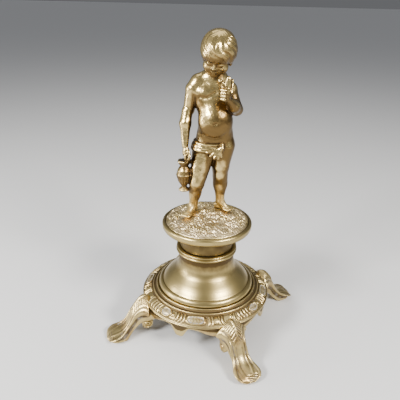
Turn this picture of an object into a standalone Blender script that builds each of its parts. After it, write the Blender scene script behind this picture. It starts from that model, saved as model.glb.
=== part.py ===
"""Brass boy holding a bird and a ewer, on a turned plate, a spun bell and a four-footed ring.

The boy, his cloth, the bird, the ewer and the mound are one casting. The plate, the bell and the
footed ring are turned, spun and cast pieces that stand on one another. The origin is on the floor
under the middle of the ring, the boy faces -Y, and +Z is up.
"""
import math

import bmesh
import bpy
import numpy as np
from mathutils import Matrix, Vector

# Driving dimensions, in metres
GAP = 0.0003
SKIRT_RADIUS = 0.0565
RING_HEIGHT = 0.0409
RING_WALL = 0.0028
PENDANT_DROP = 0.0095
LEG_REACH = 0.0950
LEG_COUNT = 4
LEG_START_ANGLE = math.radians(22.5)
TOE_HALF_WIDTH = 0.0114
KNEE_HALF_WIDTH = 0.0142
TOE_DRIFT = 0.0025
SCROLL_RADIUS = 0.0056
RIB_HEIGHT = 0.0006
BELL_HEIGHT = 0.0398
BELL_FOOT_RADIUS = 0.0434
BELL_NECK_RADIUS = 0.0247
BELL_WALL = 0.0010
PLATE_RADIUS = 0.0392
PLATE_DEPTH = 0.0074
PLATE_NECK_RADIUS = 0.0235
PLATE_NECK_LENGTH = 0.0166
PLATE_WALL = 0.0025
MOUND_RADIUS = 0.0360
MOUND_HEIGHT = 0.0087
BOY_HEIGHT = 0.1500

# How finely the solids are faceted
TURN_STEPS = 32
RING_COLUMNS = 76
BOY_VOXEL = 0.0010
BOY_FACES = 3220

# Stack of the pieces
SEAT_HEIGHT = RING_HEIGHT - 0.0019
SEAT_RADIUS = BELL_FOOT_RADIUS + GAP
BELL_FOOT = SEAT_HEIGHT + GAP
BELL_TOP = BELL_FOOT + BELL_HEIGHT
NECK_FOOT = BELL_TOP + GAP
RIM_FOOT = NECK_FOOT + PLATE_NECK_LENGTH
RIM_TOP = RIM_FOOT + PLATE_DEPTH
PLATE_FLOOR = RIM_TOP - 0.0021
MOUND_FOOT = PLATE_FLOOR + GAP
GROUND = MOUND_FOOT + MOUND_HEIGHT
LIP_RADIUS = MOUND_RADIUS + GAP + 0.0001

# The boy is described on a 150 unit scale, with the ground under him at zero
FIGURE_UNITS = 150.0
UNIT = BOY_HEIGHT / FIGURE_UNITS


def clear_scene():
    for item in list(bpy.data.objects):
        bpy.data.objects.remove(item, do_unlink=True)


def new_collection(name):
    collection = bpy.data.collections.new(name)
    bpy.context.scene.collection.children.link(collection)
    return collection


def brass(name, colour, roughness):
    material = bpy.data.materials.new(name)
    material.use_nodes = True
    shader = material.node_tree.nodes["Principled BSDF"]
    shader.inputs["Base Color"].default_value = (*colour, 1.0)
    shader.inputs["Metallic"].default_value = 1.0
    shader.inputs["Roughness"].default_value = roughness
    return material


def add_object(name, mesh, collection, material):
    item = bpy.data.objects.new(name, mesh)
    item.data.materials.append(material)
    collection.objects.link(item)
    return item


def turned_piece(name, profile, collection, material):
    """Spin a profile of (radius, height) points that runs down the outer side."""
    mesh = bpy.data.meshes.new(name)
    points = [(radius, 0.0, height) for radius, height in profile]
    closed = profile[0][0] > 0.0
    edges = [(i, i + 1) for i in range(len(points) - 1)]
    if closed:
        edges.append((len(points) - 1, 0))
    mesh.from_pydata(points, edges, [])
    item = add_object(name, mesh, collection, material)
    screw = item.modifiers.new("Turn", 'SCREW')
    screw.steps = TURN_STEPS
    screw.render_steps = TURN_STEPS
    screw.use_merge_vertices = True
    screw.merge_threshold = 0.00001
    screw.use_smooth_shade = True
    return item


def baked(item, name):
    """A mesh of an object as its modifiers leave it."""
    graph = bpy.context.evaluated_depsgraph_get()
    graph.update()
    mesh = bpy.data.meshes.new_from_object(item.evaluated_get(graph))
    mesh.name = name
    return mesh


# Top plate

def plate_profile():
    """A rim round a shallow dish for the mound, over a hollow neck."""
    edge = PLATE_RADIUS
    band = PLATE_DEPTH
    bore = PLATE_NECK_RADIUS - PLATE_WALL
    return [
        (0.0, PLATE_FLOOR),
        (LIP_RADIUS, PLATE_FLOOR),
        (LIP_RADIUS + 0.0002, RIM_TOP - 0.0003),
        (LIP_RADIUS + 0.0010, RIM_TOP),
        (edge - 0.0006, RIM_TOP - 0.14 * band),
        (edge, RIM_TOP - 0.28 * band),
        (edge - 0.0002, RIM_TOP - 0.66 * band),
        (edge - 0.0012, RIM_TOP - 0.88 * band),
        (edge - 0.0042, RIM_FOOT),
        (PLATE_NECK_RADIUS + 0.0015, RIM_FOOT + 0.0002),
        (PLATE_NECK_RADIUS, RIM_FOOT - 0.0016),
        (PLATE_NECK_RADIUS, NECK_FOOT),
        (bore, NECK_FOOT),
        (bore, PLATE_FLOOR - PLATE_WALL),
        (0.0, PLATE_FLOOR - PLATE_WALL),
    ]


# Bell

def bell_profile():
    """A spun bell: collar beads, a flared neck, a long dome, a crease and a rounded foot band."""
    foot = BELL_FOOT
    tall = BELL_HEIGHT
    neck = BELL_NECK_RADIUS
    flare = BELL_FOOT_RADIUS - neck
    collar = [
        (neck - 0.0027, BELL_TOP),
        (neck + 0.0013, BELL_TOP),
        (neck + 0.0021, BELL_TOP - 0.018 * tall),
        (neck + 0.0014, BELL_TOP - 0.052 * tall),
        (neck + 0.0025, BELL_TOP - 0.085 * tall),
        (neck + 0.0020, BELL_TOP - 0.130 * tall),
        (neck, BELL_TOP - 0.155 * tall),
    ]
    body = [
        (0.00, 0.66),
        (0.04, 0.55),
        (0.14, 0.46),
        (0.31, 0.37),
        (0.45, 0.294),
        (0.58, 0.231),
        (0.68, 0.186),
        (0.725, 0.190),
        (0.90, 0.138),
        (0.985, 0.075),
        (1.0, 0.0),
    ]
    outer = collar + [(neck + share * flare, foot + rise * tall) for share, rise in body]
    inner = [(outer[-1][0] - BELL_WALL, foot)]
    for index in (15, 13, 11, 9, 7):
        inner.append((outer[index][0] - BELL_WALL, outer[index][1] - 0.5 * BELL_WALL))
    inner.append((neck - BELL_WALL, BELL_TOP - BELL_WALL))
    inner.append((outer[0][0], BELL_TOP - BELL_WALL))
    return outer + inner


# Footed ring

def smooth_step(value, start, end):
    share = np.clip((value - start) / (end - start), 0.0, 1.0)
    return share * share * (3.0 - 2.0 * share)


def skirt_edge(angle):
    """Height of the skirt's lower edge: a pendant midway between legs, arches beside it."""
    quarter = 2.0 * math.pi / LEG_COUNT
    from_leg = (angle - LEG_START_ANGLE) % quarter
    from_pendant = abs(from_leg - quarter / 2.0)
    arch = 0.667 * RING_HEIGHT
    rise = smooth_step(from_pendant, math.radians(1.8), math.radians(9.5))
    fall = smooth_step(from_pendant, math.radians(12.0), math.radians(34.0))
    return arch - PENDANT_DROP * (1.0 - rise) - 0.155 * RING_HEIGHT * fall


def frieze_relief(column):
    """Height of the carving at a column: oval and framed bosses between ribs."""
    per_leg = RING_COLUMNS // LEG_COUNT
    place = column % per_leg
    oval = per_leg // 3
    framed = 2 * per_leg // 3
    if abs(place - oval) <= 1:
        return 1.5
    if abs(place - framed) <= 2:
        return 1.0 if abs(place - framed) == 2 else 1.6
    return 1.0 if place % 2 else 0.0


def ring_rows():
    """The ring's section: radius, height, share of relief, and whether it follows the edge."""
    skirt = SKIRT_RADIUS
    top = RING_HEIGHT
    border = skirt + 0.0015
    inside = SEAT_RADIUS - 0.0030
    wall = RING_WALL
    return [
        (inside, SEAT_HEIGHT, 0.0, 0.0),
        (SEAT_RADIUS, SEAT_HEIGHT, 0.0, 0.0),
        (SEAT_RADIUS + 0.0004, top - 0.0004, 0.0, 0.0),
        (SEAT_RADIUS + 0.0012, top, 0.0, 0.0),
        (SEAT_RADIUS + 0.0019, top - 0.0009, 0.0, 0.0),
        (0.62 * SEAT_RADIUS + 0.38 * skirt - 0.0009, top - 0.0031, 0.0, 0.0),
        (0.47 * SEAT_RADIUS + 0.53 * skirt, top - 0.0046, 1.0, 0.0),
        (0.20 * SEAT_RADIUS + 0.80 * skirt, top - 0.0064, 1.0, 0.0),
        (border - 0.0008, top - 0.0079, 0.0, 0.0),
        (border, top - 0.0089, 0.0, 0.0),
        (skirt, top - 0.0104, 0.0, 0.0),
        (skirt - 0.0004, 0.0, 0.0, 1.0),
        (skirt - wall, 0.0, 0.0, 1.0),
        (skirt - wall, top - 0.0110, 0.0, 0.0),
        (inside + 0.4 * wall, SEAT_HEIGHT - wall, 0.0, 0.0),
    ]


def ring_shell():
    """Loft the ring's section round the axis, its foot on the scalloped edge."""
    rows = ring_rows()
    mesh = bpy.data.meshes.new("ring_shell")
    points = []
    for column in range(RING_COLUMNS):
        angle = LEG_START_ANGLE + 2.0 * math.pi * column / RING_COLUMNS
        lift = frieze_relief(column) * RIB_HEIGHT
        for radius, height, relief, on_edge in rows:
            z = skirt_edge(angle) if on_edge else height + 0.9 * relief * lift
            r = radius + 0.4 * relief * lift
            points.append((r * math.cos(angle), r * math.sin(angle), z))
    count = len(rows)
    faces = []
    for column in range(RING_COLUMNS):
        here = column * count
        there = ((column + 1) % RING_COLUMNS) * count
        for row in range(count):
            after = (row + 1) % count
            faces.append((here + row, here + after, there + after, there + row))
    mesh.from_pydata(points, [], faces)
    return mesh


def leg_stations():
    """Along a leg: its top and under points, then edge and foot widths, edge depth and crown.

    Points are (radius, height). The edge is the brim of the leaf and of the channel below it, and
    its depth is a share of the way from the top to the underside.
    """
    knee = KNEE_HALF_WIDTH
    toe = TOE_HALF_WIDTH
    flank = 0.62 * knee
    rows = [
        (-0.11, 0.84, -0.15, 0.36, 0.12 * knee, flank, 0.10, 0.0008),
        (-0.02, 0.90, -0.02, 0.34, 0.68 * knee, flank, 0.34, 0.0006),
        (0.06, 0.91, 0.05, 0.34, knee, flank, 0.50, 0.0006),
        (0.14, 0.88, 0.11, 0.35, 0.82 * knee, flank, 0.48, 0.0006),
        (0.25, 0.79, 0.17, 0.35, 0.66 * knee, 0.94 * flank, 0.42, 0.0004),
        (0.37, 0.64, 0.23, 0.31, 0.56 * knee, 0.84 * flank, 0.32, 0.0),
        (0.45, 0.47, 0.30, 0.25, 0.54 * knee, 0.76 * flank, 0.22, -0.0006),
        (0.54, 0.33, 0.39, 0.15, 0.68 * toe, 0.52 * toe, 0.16, -0.0012),
        (0.65, 0.25, 0.49, 0.05, 0.82 * toe, 0.62 * toe, 0.16, -0.0014),
        (0.76, 0.21, 0.56, 0.0, 0.96 * toe, 0.74 * toe, 0.16, -0.0014),
        (0.86, 0.17, 0.72, 0.0, toe, 0.76 * toe, 0.16, -0.0010),
        (0.95, 0.12, 0.86, 0.0, 0.82 * toe, 0.62 * toe, 0.20, -0.0004),
        (1.0, 0.06, 0.93, 0.0, 0.36 * toe, 0.30 * toe, 0.30, 0.0),
    ]
    out = LEG_REACH - SKIRT_RADIUS
    stations = []
    for top_out, top_up, under_out, under_up, brim, foot, edge, crown in rows:
        top = (SKIRT_RADIUS + top_out * out, top_up * RING_HEIGHT)
        under = (SKIRT_RADIUS + under_out * out, under_up * RING_HEIGHT)
        stations.append((top, under, brim, foot, edge, crown))
    return stations


def leg_mesh():
    """Loft a leg outward along +X from inside the skirt to the toe."""
    mesh = bpy.data.meshes.new("leg")
    points = []
    stations = leg_stations()
    up = Vector((0.0, 0.0, 1.0))
    for top, under, brim, foot, edge, crown in stations:
        top = Vector((top[0], 0.0, top[1]))
        down = Vector((under[0], 0.0, under[1])) - top
        drift = TOE_DRIFT * smooth_step(top.x, SKIRT_RADIUS, LEG_REACH)
        right_half = [
            (0.55 * brim, 0.32 * edge, 0.4 * crown),
            (brim, edge, 0.0),
            (0.70 * brim + 0.22 * foot, edge + 0.10, 0.0),
            (foot, 0.86, 0.0),
            (0.80 * foot, 1.0, 0.0),
        ]
        left_half = [(-side, depth, rise) for side, depth, rise in reversed(right_half)]
        for side, depth, rise in [(0.0, 0.0, crown)] + right_half + left_half:
            points.append(top + down * depth + up * rise + Vector((0.0, side + drift, 0.0)))
    count = len(points) // len(stations)
    faces = [tuple(range(count))]
    for station in range(len(stations) - 1):
        here = station * count
        for corner in range(count):
            after = (corner + 1) % count
            faces.append((here + corner, here + count + corner, here + count + after, here + after))
    faces.append(tuple(reversed(range(len(points) - count, len(points)))))
    mesh.from_pydata(points, [], faces)
    return mesh


def lying_drum(name, radius, length, segments):
    """A drum across a leg, under its knee."""
    mesh = bpy.data.meshes.new(name)
    shape = bmesh.new()
    centre = (SKIRT_RADIUS + 0.0018, 0.0, 0.285 * RING_HEIGHT)
    lying = Matrix.Translation(centre) @ Matrix.Rotation(math.pi / 2.0, 4, 'X')
    bmesh.ops.create_cone(
        shape, cap_ends=True, segments=segments, radius1=radius, radius2=radius, depth=length, matrix=lying)
    shape.to_mesh(mesh)
    shape.free()
    return mesh


def outward(mesh):
    """Turn a closed mesh's faces to point out."""
    shape = bmesh.new()
    shape.from_mesh(mesh)
    bmesh.ops.recalc_face_normals(shape, faces=shape.faces)
    shape.to_mesh(mesh)
    shape.free()


def footed_ring(collection, cutters, material):
    shell = ring_shell()
    outward(shell)
    item = add_object("footed_ring", shell, collection, material)
    scroll = lying_drum("scroll", SCROLL_RADIUS, 1.15 * KNEE_HALF_WIDTH, 16)
    boss = lying_drum("boss", 0.45 * SCROLL_RADIUS, 1.28 * KNEE_HALF_WIDTH, 10)
    additions = [leg_mesh(), scroll, boss]
    for mesh in additions:
        outward(mesh)
    for leg in range(LEG_COUNT):
        angle = LEG_START_ANGLE + 2.0 * math.pi * leg / LEG_COUNT
        for mesh in additions:
            tool = bpy.data.objects.new(f"{mesh.name}_{leg + 1}", mesh)
            tool.rotation_euler.z = angle
            tool.hide_render = True
            tool.display_type = 'WIRE'
            cutters.objects.link(tool)
            union = item.modifiers.new(tool.name, 'BOOLEAN')
            union.operation = 'UNION'
            union.solver = 'EXACT'
            union.object = tool
    return item


# Boy, mound, ewer and bird: rounded shapes that melt together

def melt(first, second, blend):
    """Distance to two shapes joined, with a fillet as wide as the blend."""
    near = np.maximum(blend - np.abs(first - second), 0.0) / blend
    return np.minimum(first, second) - near ** 3 * blend / 6.0


def turned_axes(nod, turn, tilt):
    """Rows: a shape's own right, back and up after a nod, a turn and a tilt in degrees."""
    nodding = Matrix.Rotation(math.radians(nod), 3, 'X')
    turning = Matrix.Rotation(math.radians(turn), 3, 'Z')
    tilting = Matrix.Rotation(math.radians(tilt), 3, 'Y')
    return np.array((turning @ tilting @ nodding).transposed())


UPRIGHT = np.identity(3)


class Lump:
    """An ellipsoid."""

    def __init__(self, centre, radii, axes=UPRIGHT):
        self.centre = np.array(centre, float)
        self.radii = np.array(radii, float)
        self.axes = axes
        self.reach = float(self.radii.max())

    def distance(self, points):
        local = (points - self.centre) @ self.axes.T
        first = np.linalg.norm(local / self.radii, axis=1)
        second = np.linalg.norm(local / self.radii ** 2, axis=1)
        return first * (first - 1.0) / np.maximum(second, 1e-9)

    def add_blank(self, shape):
        place = Matrix.Translation(Vector(self.centre)) @ Matrix(self.axes.T.tolist()).to_4x4()
        bmesh.ops.create_icosphere(
            shape, subdivisions=3, radius=1.0, matrix=place @ Matrix.Diagonal((*self.radii, 1.0)))


class Limb:
    """A round-ended rod that tapers from one end to the other."""

    def __init__(self, start, end, start_radius, end_radius):
        self.start = np.array(start, float)
        self.end = np.array(end, float)
        self.radii = (start_radius, end_radius)
        self.centre = (self.start + self.end) / 2.0
        self.reach = float(np.linalg.norm(self.end - self.start) / 2.0 + max(self.radii))

    def distance(self, points):
        axis = self.end - self.start
        share = np.clip((points - self.start) @ axis / (axis @ axis), 0.0, 1.0)
        radius = self.radii[0] + (self.radii[1] - self.radii[0]) * share
        return np.linalg.norm(points - self.start - share[:, None] * axis, axis=1) - radius

    def add_blank(self, shape):
        axis = Vector(self.end - self.start)
        place = Matrix.Translation(Vector(self.centre)) @ axis.to_track_quat('Z', 'Y').to_matrix().to_4x4()
        bmesh.ops.create_cone(
            shape, cap_ends=True, segments=16, radius1=self.radii[0], radius2=self.radii[1],
            depth=axis.length, matrix=place)
        for end, radius in zip((self.start, self.end), self.radii):
            bmesh.ops.create_icosphere(
                shape, subdivisions=2, radius=radius, matrix=Matrix.Translation(Vector(end)))


class Turned:
    """A shape turned round an upright axis, from (height, radius) points."""

    def __init__(self, x, y, profile, lobes=0, lobe_depth=0.0):
        self.axis = np.array((x, y), float)
        self.heights = np.array([height for height, radius in profile], float)
        self.sizes = np.array([radius for height, radius in profile], float)
        self.lobes = lobes
        self.lobe_depth = lobe_depth
        middle = (self.heights[0] + self.heights[-1]) / 2.0
        self.centre = np.array((x, y, middle))
        self.reach = float(np.hypot(self.sizes.max() + lobe_depth, self.heights[-1] - middle))

    def distance(self, points):
        across = points[:, :2] - self.axis
        height = points[:, 2]
        size = np.interp(height, self.heights, self.sizes)
        if self.lobes:
            near_top = smooth_step(height, self.heights[-4], self.heights[-1])
            turn = np.arctan2(across[:, 1], across[:, 0])
            size = size + self.lobe_depth * near_top * np.cos(self.lobes * turn)
        side = (np.hypot(across[:, 0], across[:, 1]) - size) * 0.8
        return np.maximum(side, np.maximum(self.heights[0] - height, height - self.heights[-1]))

    def add_blank(self, shape):
        for low, high, below, above in zip(self.heights, self.heights[1:], self.sizes, self.sizes[1:]):
            place = Matrix.Translation((*self.axis, (low + high) / 2.0))
            bmesh.ops.create_cone(
                shape, cap_ends=True, segments=32, radius1=below, radius2=above,
                depth=high - low, matrix=place)


class Ground(Turned):
    """A low turned swell, measured by its height so that what stands on it melts in evenly."""

    def distance(self, points):
        away = np.hypot(points[:, 0] - self.axis[0], points[:, 1] - self.axis[1])
        top = np.interp(away, self.sizes[:0:-1], self.heights[:0:-1])
        rise = (points[:, 2] - top) * 0.9
        return np.maximum(rise, np.maximum(away - self.sizes.max(), self.heights[0] - points[:, 2]))


class Melted:
    """Shapes joined one after another with the same blend."""

    def __init__(self, blend, *shapes):
        self.blend = blend
        self.shapes = shapes
        centres = np.array([shape.centre for shape in shapes])
        self.centre = (centres.min(axis=0) + centres.max(axis=0)) / 2.0
        self.reach = max(float(np.linalg.norm(shape.centre - self.centre)) + shape.reach for shape in shapes)

    def distance(self, points):
        result = self.shapes[0].distance(points)
        for shape in self.shapes[1:]:
            least = np.linalg.norm(points - shape.centre, axis=1) - shape.reach
            near = least < result + self.blend
            if near.any():
                result[near] = melt(result[near], shape.distance(points[near]), self.blend)
        return result

    def add_blank(self, shape):
        for part in self.shapes:
            part.add_blank(shape)


class Carved:
    """A shape with others pressed out of it, the edges softened."""

    def __init__(self, blend, base, *tools):
        self.blend = blend
        self.base = base
        self.tools = tools
        self.centre = base.centre
        self.reach = base.reach

    def distance(self, points):
        result = self.base.distance(points)
        for tool in self.tools:
            result = -melt(-result, tool.distance(points), self.blend)
        return result

    def add_blank(self, shape):
        self.base.add_blank(shape)


class Embossed:
    """A shape with a shallow pattern raised on it."""

    def __init__(self, base, pattern):
        self.base = base
        self.pattern = pattern
        self.centre = base.centre
        self.reach = base.reach + 1.0

    def distance(self, points):
        result = self.base.distance(points)
        near = result < 3.0
        if near.any():
            result[near] -= self.pattern(points[near])
        return result

    def add_blank(self, shape):
        self.base.add_blank(shape)


class Placed:
    """A shape modelled round its own origin and set in place with its own axes."""

    def __init__(self, part, origin, axes):
        self.part = part
        self.origin = np.array(origin, float)
        self.axes = axes
        self.centre = self.origin + part.centre @ axes
        self.reach = part.reach

    def distance(self, points):
        return self.part.distance((points - self.origin) @ self.axes.T)

    def add_blank(self, shape):
        own = bmesh.new()
        self.part.add_blank(own)
        place = Matrix.Translation(Vector(self.origin)) @ Matrix(self.axes.T.tolist()).to_4x4()
        bmesh.ops.transform(own, matrix=place, verts=own.verts)
        held = bpy.data.meshes.new("held")
        own.to_mesh(held)
        own.free()
        shape.from_mesh(held)
        bpy.data.meshes.remove(held)


class Wrap:
    """A folded cloth over a body between two slanting heights, open at one side."""

    def __init__(self, body, centre, reach):
        self.body = body
        self.centre = np.array(centre, float)
        self.reach = reach

    def distance(self, points):
        x, y, z = points.T
        across = np.clip((x + CLOTH_LEFT) / (CLOTH_LEFT + CLOTH_RIGHT), 0.0, 1.0)
        top = CLOTH_TOP - 3.2 * across * (1.0 - across)
        low = CLOTH_LOW + 0.8 * across
        up = (z - low) / (top - low)
        rolls = CLOTH_FOLDS * up + 0.45 * across + 0.10 * np.sin(0.30 * x + 1.3)
        fold = 0.62 * np.sqrt(np.abs(np.sin(math.pi * rolls))) - 0.2
        over = self.body.distance(points) - CLOTH_THICKNESS - fold
        front = np.maximum(np.abs(z - (top + low) / 2.0) - (top - low) / 2.0, x - CLOTH_RIGHT)
        band = np.where(y > 5.0, np.maximum(front, x + 9.0), front)
        return -melt(-over, -band, 1.6)

    def add_blank(self, shape):
        pass


def chain(blend, points, radii):
    """Limbs end to end through points."""
    ends = zip(points, points[1:], radii, radii[1:])
    return Melted(blend, *[Limb(a, b, size_a, size_b) for a, b, size_a, size_b in ends])


def both_sides(make):
    """A pair of shapes, one made for each side of the head."""
    return [make(-1.0), make(1.0)]


# Figure places, on the 150 unit scale
HEAD_PLACE = (5.0, -3.6, 131.5)
HEAD_AXES = turned_axes(25.0, -10.0, 7.0)
RIGHT_SHOULDER = (-13.8, 1.8, 104.8)
RIGHT_ELBOW = (-16.6, 3.4, 88.5)
RIGHT_WRIST = (-19.2, -5.0, 61.0)
LEFT_SHOULDER = (15.2, 1.4, 105.4)
LEFT_ELBOW = (21.0, -0.6, 90.2)
LEFT_WRIST = (13.0, -15.4, 101.0)
RIGHT_HIP = (-3.6, 0.5, 57.0)
RIGHT_KNEE = (-9.0, -6.0, 29.5)
RIGHT_ANKLE = (-12.5, 1.2, 6.0)
LEFT_HIP = (12.0, 1.8, 60.0)
LEFT_KNEE = (10.0, 2.3, 34.0)
LEFT_ANKLE = (10.7, 7.4, 8.0)
EWER_PLACE = (-19.9, -4.8)
CLOTH_LEFT = 13.0
CLOTH_RIGHT = 11.5
CLOTH_TOP = 65.2
CLOTH_LOW = 56.6
CLOTH_FOLDS = 2.6
CLOTH_THICKNESS = 0.9
FINGERS = 4
TOES = 5
CAP_CENTRE = np.array((0.0, 2.4, 4.2))
CAP_RADII = np.array((13.3, 15.1, 13.5))
CROWN = np.array((0.0, 0.30, 0.954))
CROWN_BACK = np.array((0.0, 0.954, -0.30))
HAIR_LOCKS = 12
LOCK_DEPTH = 0.6


def skull():
    cheeks = both_sides(lambda side: Lump((4.9 * side, -6.8, -6.0), (4.5, 4.4, 4.4)))
    return Melted(
        3.6,
        Lump((0.0, 2.0, 3.6), (11.6, 13.2, 11.6)),
        Lump((0.0, -4.4, 3.4), (9.4, 8.4, 7.4)),
        Lump((0.0, -4.0, -5.0), (8.9, 8.5, 8.6)),
        *cheeks,
        Lump((0.0, -7.8, -10.9), (3.6, 3.6, 2.9)))


def features():
    """Lowered lids, soft brows, a short nose and closed lips."""
    lids = both_sides(lambda side: Lump((3.9 * side, -9.7, -1.8), (2.5, 2.1, 1.5)))
    brows = both_sides(lambda side: Limb((2.0 * side, -11.7, 1.2), (6.2 * side, -9.8, 0.8), 0.8, 0.6))
    wings = both_sides(lambda side: Lump((1.15 * side, -12.3, -5.0), (0.85, 0.95, 0.75)))
    lips = both_sides(lambda side: Lump((0.9 * side, -11.8, -7.6), (1.5, 1.1, 0.62)))
    bridge = Limb((0.0, -11.4, -1.0), (0.0, -13.0, -4.5), 0.85, 1.15)
    soft = Melted(1.6, *lids, *brows, bridge, *wings)
    return Melted(0.7, soft, Melted(0.5, *lips, Lump((0.0, -11.6, -8.7), (1.6, 1.1, 0.65))))


def face():
    sockets = both_sides(lambda side: Lump((3.9 * side, -14.2, -1.7), (3.0, 2.3, 1.9)))
    lip_line = Limb((-1.8, -12.6, -8.1), (1.8, -12.6, -8.1), 0.2, 0.2)
    return Carved(0.5, Melted(1.3, Carved(2.6, skull(), *sockets), features()), lip_line)


def lock_relief(points):
    """Broad locks that sweep out from the crown, each one a rounded ridge."""
    away = (points - CAP_CENTRE) / CAP_RADII
    away = away / np.maximum(np.linalg.norm(away, axis=1), 1e-9)[:, None]
    fall = np.arccos(np.clip(away @ CROWN, -1.0, 1.0))
    turn = np.arctan2(away[:, 0], away @ CROWN_BACK)
    sweep = turn + 0.30 * fall ** 2 + 0.14 * np.sin(3.0 * fall + 2.0 * turn)
    ridge = np.abs(np.cos(0.5 * HAIR_LOCKS * sweep + 0.7 * np.sin(2.4 * fall + 1.7 * turn)))
    return LOCK_DEPTH * smooth_step(fall, 0.15, 0.90) * (ridge - 0.6)


def hair():
    """A cap of hair to the ears, open over the face under a fringe of locks."""
    sides = both_sides(lambda side: Lump((9.7 * side, 4.0, 0.2), (3.6, 8.2, 6.2)))
    cap = Melted(3.2, Lump(CAP_CENTRE, CAP_RADII), *sides, Lump((0.0, 10.0, -4.6), (10.2, 5.6, 8.8)))
    fringe = Embossed(Lump((0.0, -13.4, -9.0), (10.4, 9.4, 10.2)), fringe_tips)
    return Carved(1.0, Embossed(cap, lock_relief), fringe)


def fringe_tips(points):
    return 0.6 * np.abs(np.cos(0.58 * points[:, 0] + 0.6))


def ears():
    return both_sides(lambda side: Lump((10.0 * side, 0.4, -4.8), (1.6, 2.4, 3.2)))


def head():
    return Placed(Melted(0.5, Melted(0.8, face(), *ears()), hair()), HEAD_PLACE, HEAD_AXES)


def torso():
    breasts = [
        Lump((-4.0, -2.0, 103.6), (7.6, 4.2, 5.2), turned_axes(0.0, 0.0, -14.0)),
        Lump((9.6, -1.8, 102.8), (7.2, 4.2, 5.4), turned_axes(0.0, 0.0, 14.0))]
    trunk = Melted(
        7.5,
        Lump((2.4, 1.8, 96.5), (15.0, 9.0, 14.0)),
        Lump((4.6, -2.6, 80.8), (13.9, 11.0, 14.6)),
        Lump((4.5, 1.4, 64.0), (15.4, 10.4, 12.0)))
    seat = Melted(
        4.0,
        Melted(4.6, trunk, *breasts),
        Lump((-2.8, 7.2, 58.0), (8.6, 7.0, 8.8)),
        Lump((10.8, 7.6, 58.8), (8.6, 7.0, 8.8)))
    nape = [RIGHT_SHOULDER, (-9.4, 3.4, 110.2), (-1.0, 4.2, 113.0), (4.8, 4.2, 112.4), (14.0, 2.4, 107.2)]
    shoulders = chain(5.0, nape, [5.7, 5.6, 6.4, 7.4, 4.8])
    neck = Limb((3.8, 4.2, 107.0), (3.8, 1.8, 121.5), 8.2, 6.3)
    spine = chain(1.5, [(4.4, 11.4, 102.0), (3.9, 10.8, 86.0), (4.0, 12.2, 71.0)], [0.9, 1.1, 0.7])
    cleft = chain(1.0, [(4.0, 14.8, 64.0), (4.0, 15.6, 56.0), (4.0, 12.0, 49.0)], [0.5, 0.9, 0.9])
    return Embossed(Carved(1.4, Melted(6.0, seat, shoulders, neck), spine, cleft), front_folds)


def stroke(points, places, width):
    """How near points come, seen from the front, to a line through places: 1 on it, 0 past its width."""
    seen = points[:, [0, 2]]
    nearest = np.full(len(points), np.inf)
    for start, end in zip(places, places[1:]):
        start = np.array(start)
        way = np.array(end) - start
        share = np.clip((seen - start) @ way / (way @ way), 0.0, 1.0)
        nearest = np.minimum(nearest, np.linalg.norm(seen - start - share[:, None] * way, axis=1))
    return 1.0 - smooth_step(nearest, 0.0, width)


def front_folds(points):
    """The folds under the chest and under the belly, and the navel, pressed into the front."""
    chest = stroke(points, [(-7.6, 100.4), (-4.6, 99.5), (-2.0, 99.8), (1.4, 102.0), (4.4, 103.6)], 2.4)
    belly = stroke(points, [(-4.0, 71.4), (-1.0, 69.8), (4.6, 68.8), (9.6, 70.0), (12.4, 72.2)], 1.9)
    navel = stroke(points, [(4.2, 81.0), (4.8, 81.2)], 1.9)
    facing = smooth_step(-points[:, 1], 1.0, 4.0)
    return -facing * (0.50 * chest + 0.45 * belly + 0.80 * navel)


def foot(ankle, heel, ball):
    """A foot from heel to ball, with its toes fanned across the way it points."""
    heel = np.array(heel, float)
    ball = np.array(ball, float)
    way = (ball - heel) * (1.0, 1.0, 0.0)
    way = way / np.linalg.norm(way)
    side = np.array((-way[1], way[0], 0.0))
    toes = []
    for toe in range(TOES):
        step = toe - (TOES - 1) / 2.0
        root = ball + 1.65 * step * side
        tip = root + (4.2 - 0.18 * step ** 2) * way - np.array((0.0, 0.0, 0.5))
        toes.append(Limb(root, tip, 1.15, 1.05))
    instep = Melted(
        2.0,
        Lump(heel, (2.8, 2.8, 2.8)),
        Limb(ankle, ball, 3.4, 2.2),
        Limb(heel, ball, 2.8, 2.4),
        Lump(ball, (3.9, 3.4, 2.0)))
    return Melted(0.6, instep, *toes)


def right_leg():
    return Melted(
        2.6,
        Limb(RIGHT_HIP, RIGHT_KNEE, 10.2, 6.3),
        Limb((-9.8, -4.2, 26.0), RIGHT_ANKLE, 5.8, 3.4),
        Lump((-10.7, -0.6, 20.5), (5.2, 5.4, 8.0)),
        Lump((-9.3, -8.4, 30.4), (3.8, 3.2, 4.0)),
        foot(RIGHT_ANKLE, (-11.4, 4.4, 2.2), (-17.0, -7.6, 0.5)))


def left_leg():
    return Melted(
        2.6,
        chain(2.0, [LEFT_HIP, (10.1, 1.6, 42.0), LEFT_KNEE], [9.4, 7.2, 6.4]),
        Limb((10.2, 3.2, 30.0), LEFT_ANKLE, 6.0, 3.5),
        Lump((10.4, 5.6, 25.5), (6.2, 5.6, 8.4)),
        Lump((9.8, -1.8, 34.8), (3.8, 3.2, 4.0)),
        foot(LEFT_ANKLE, (8.4, 11.2, 2.4), (16.6, 5.4, 1.2)))


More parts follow.
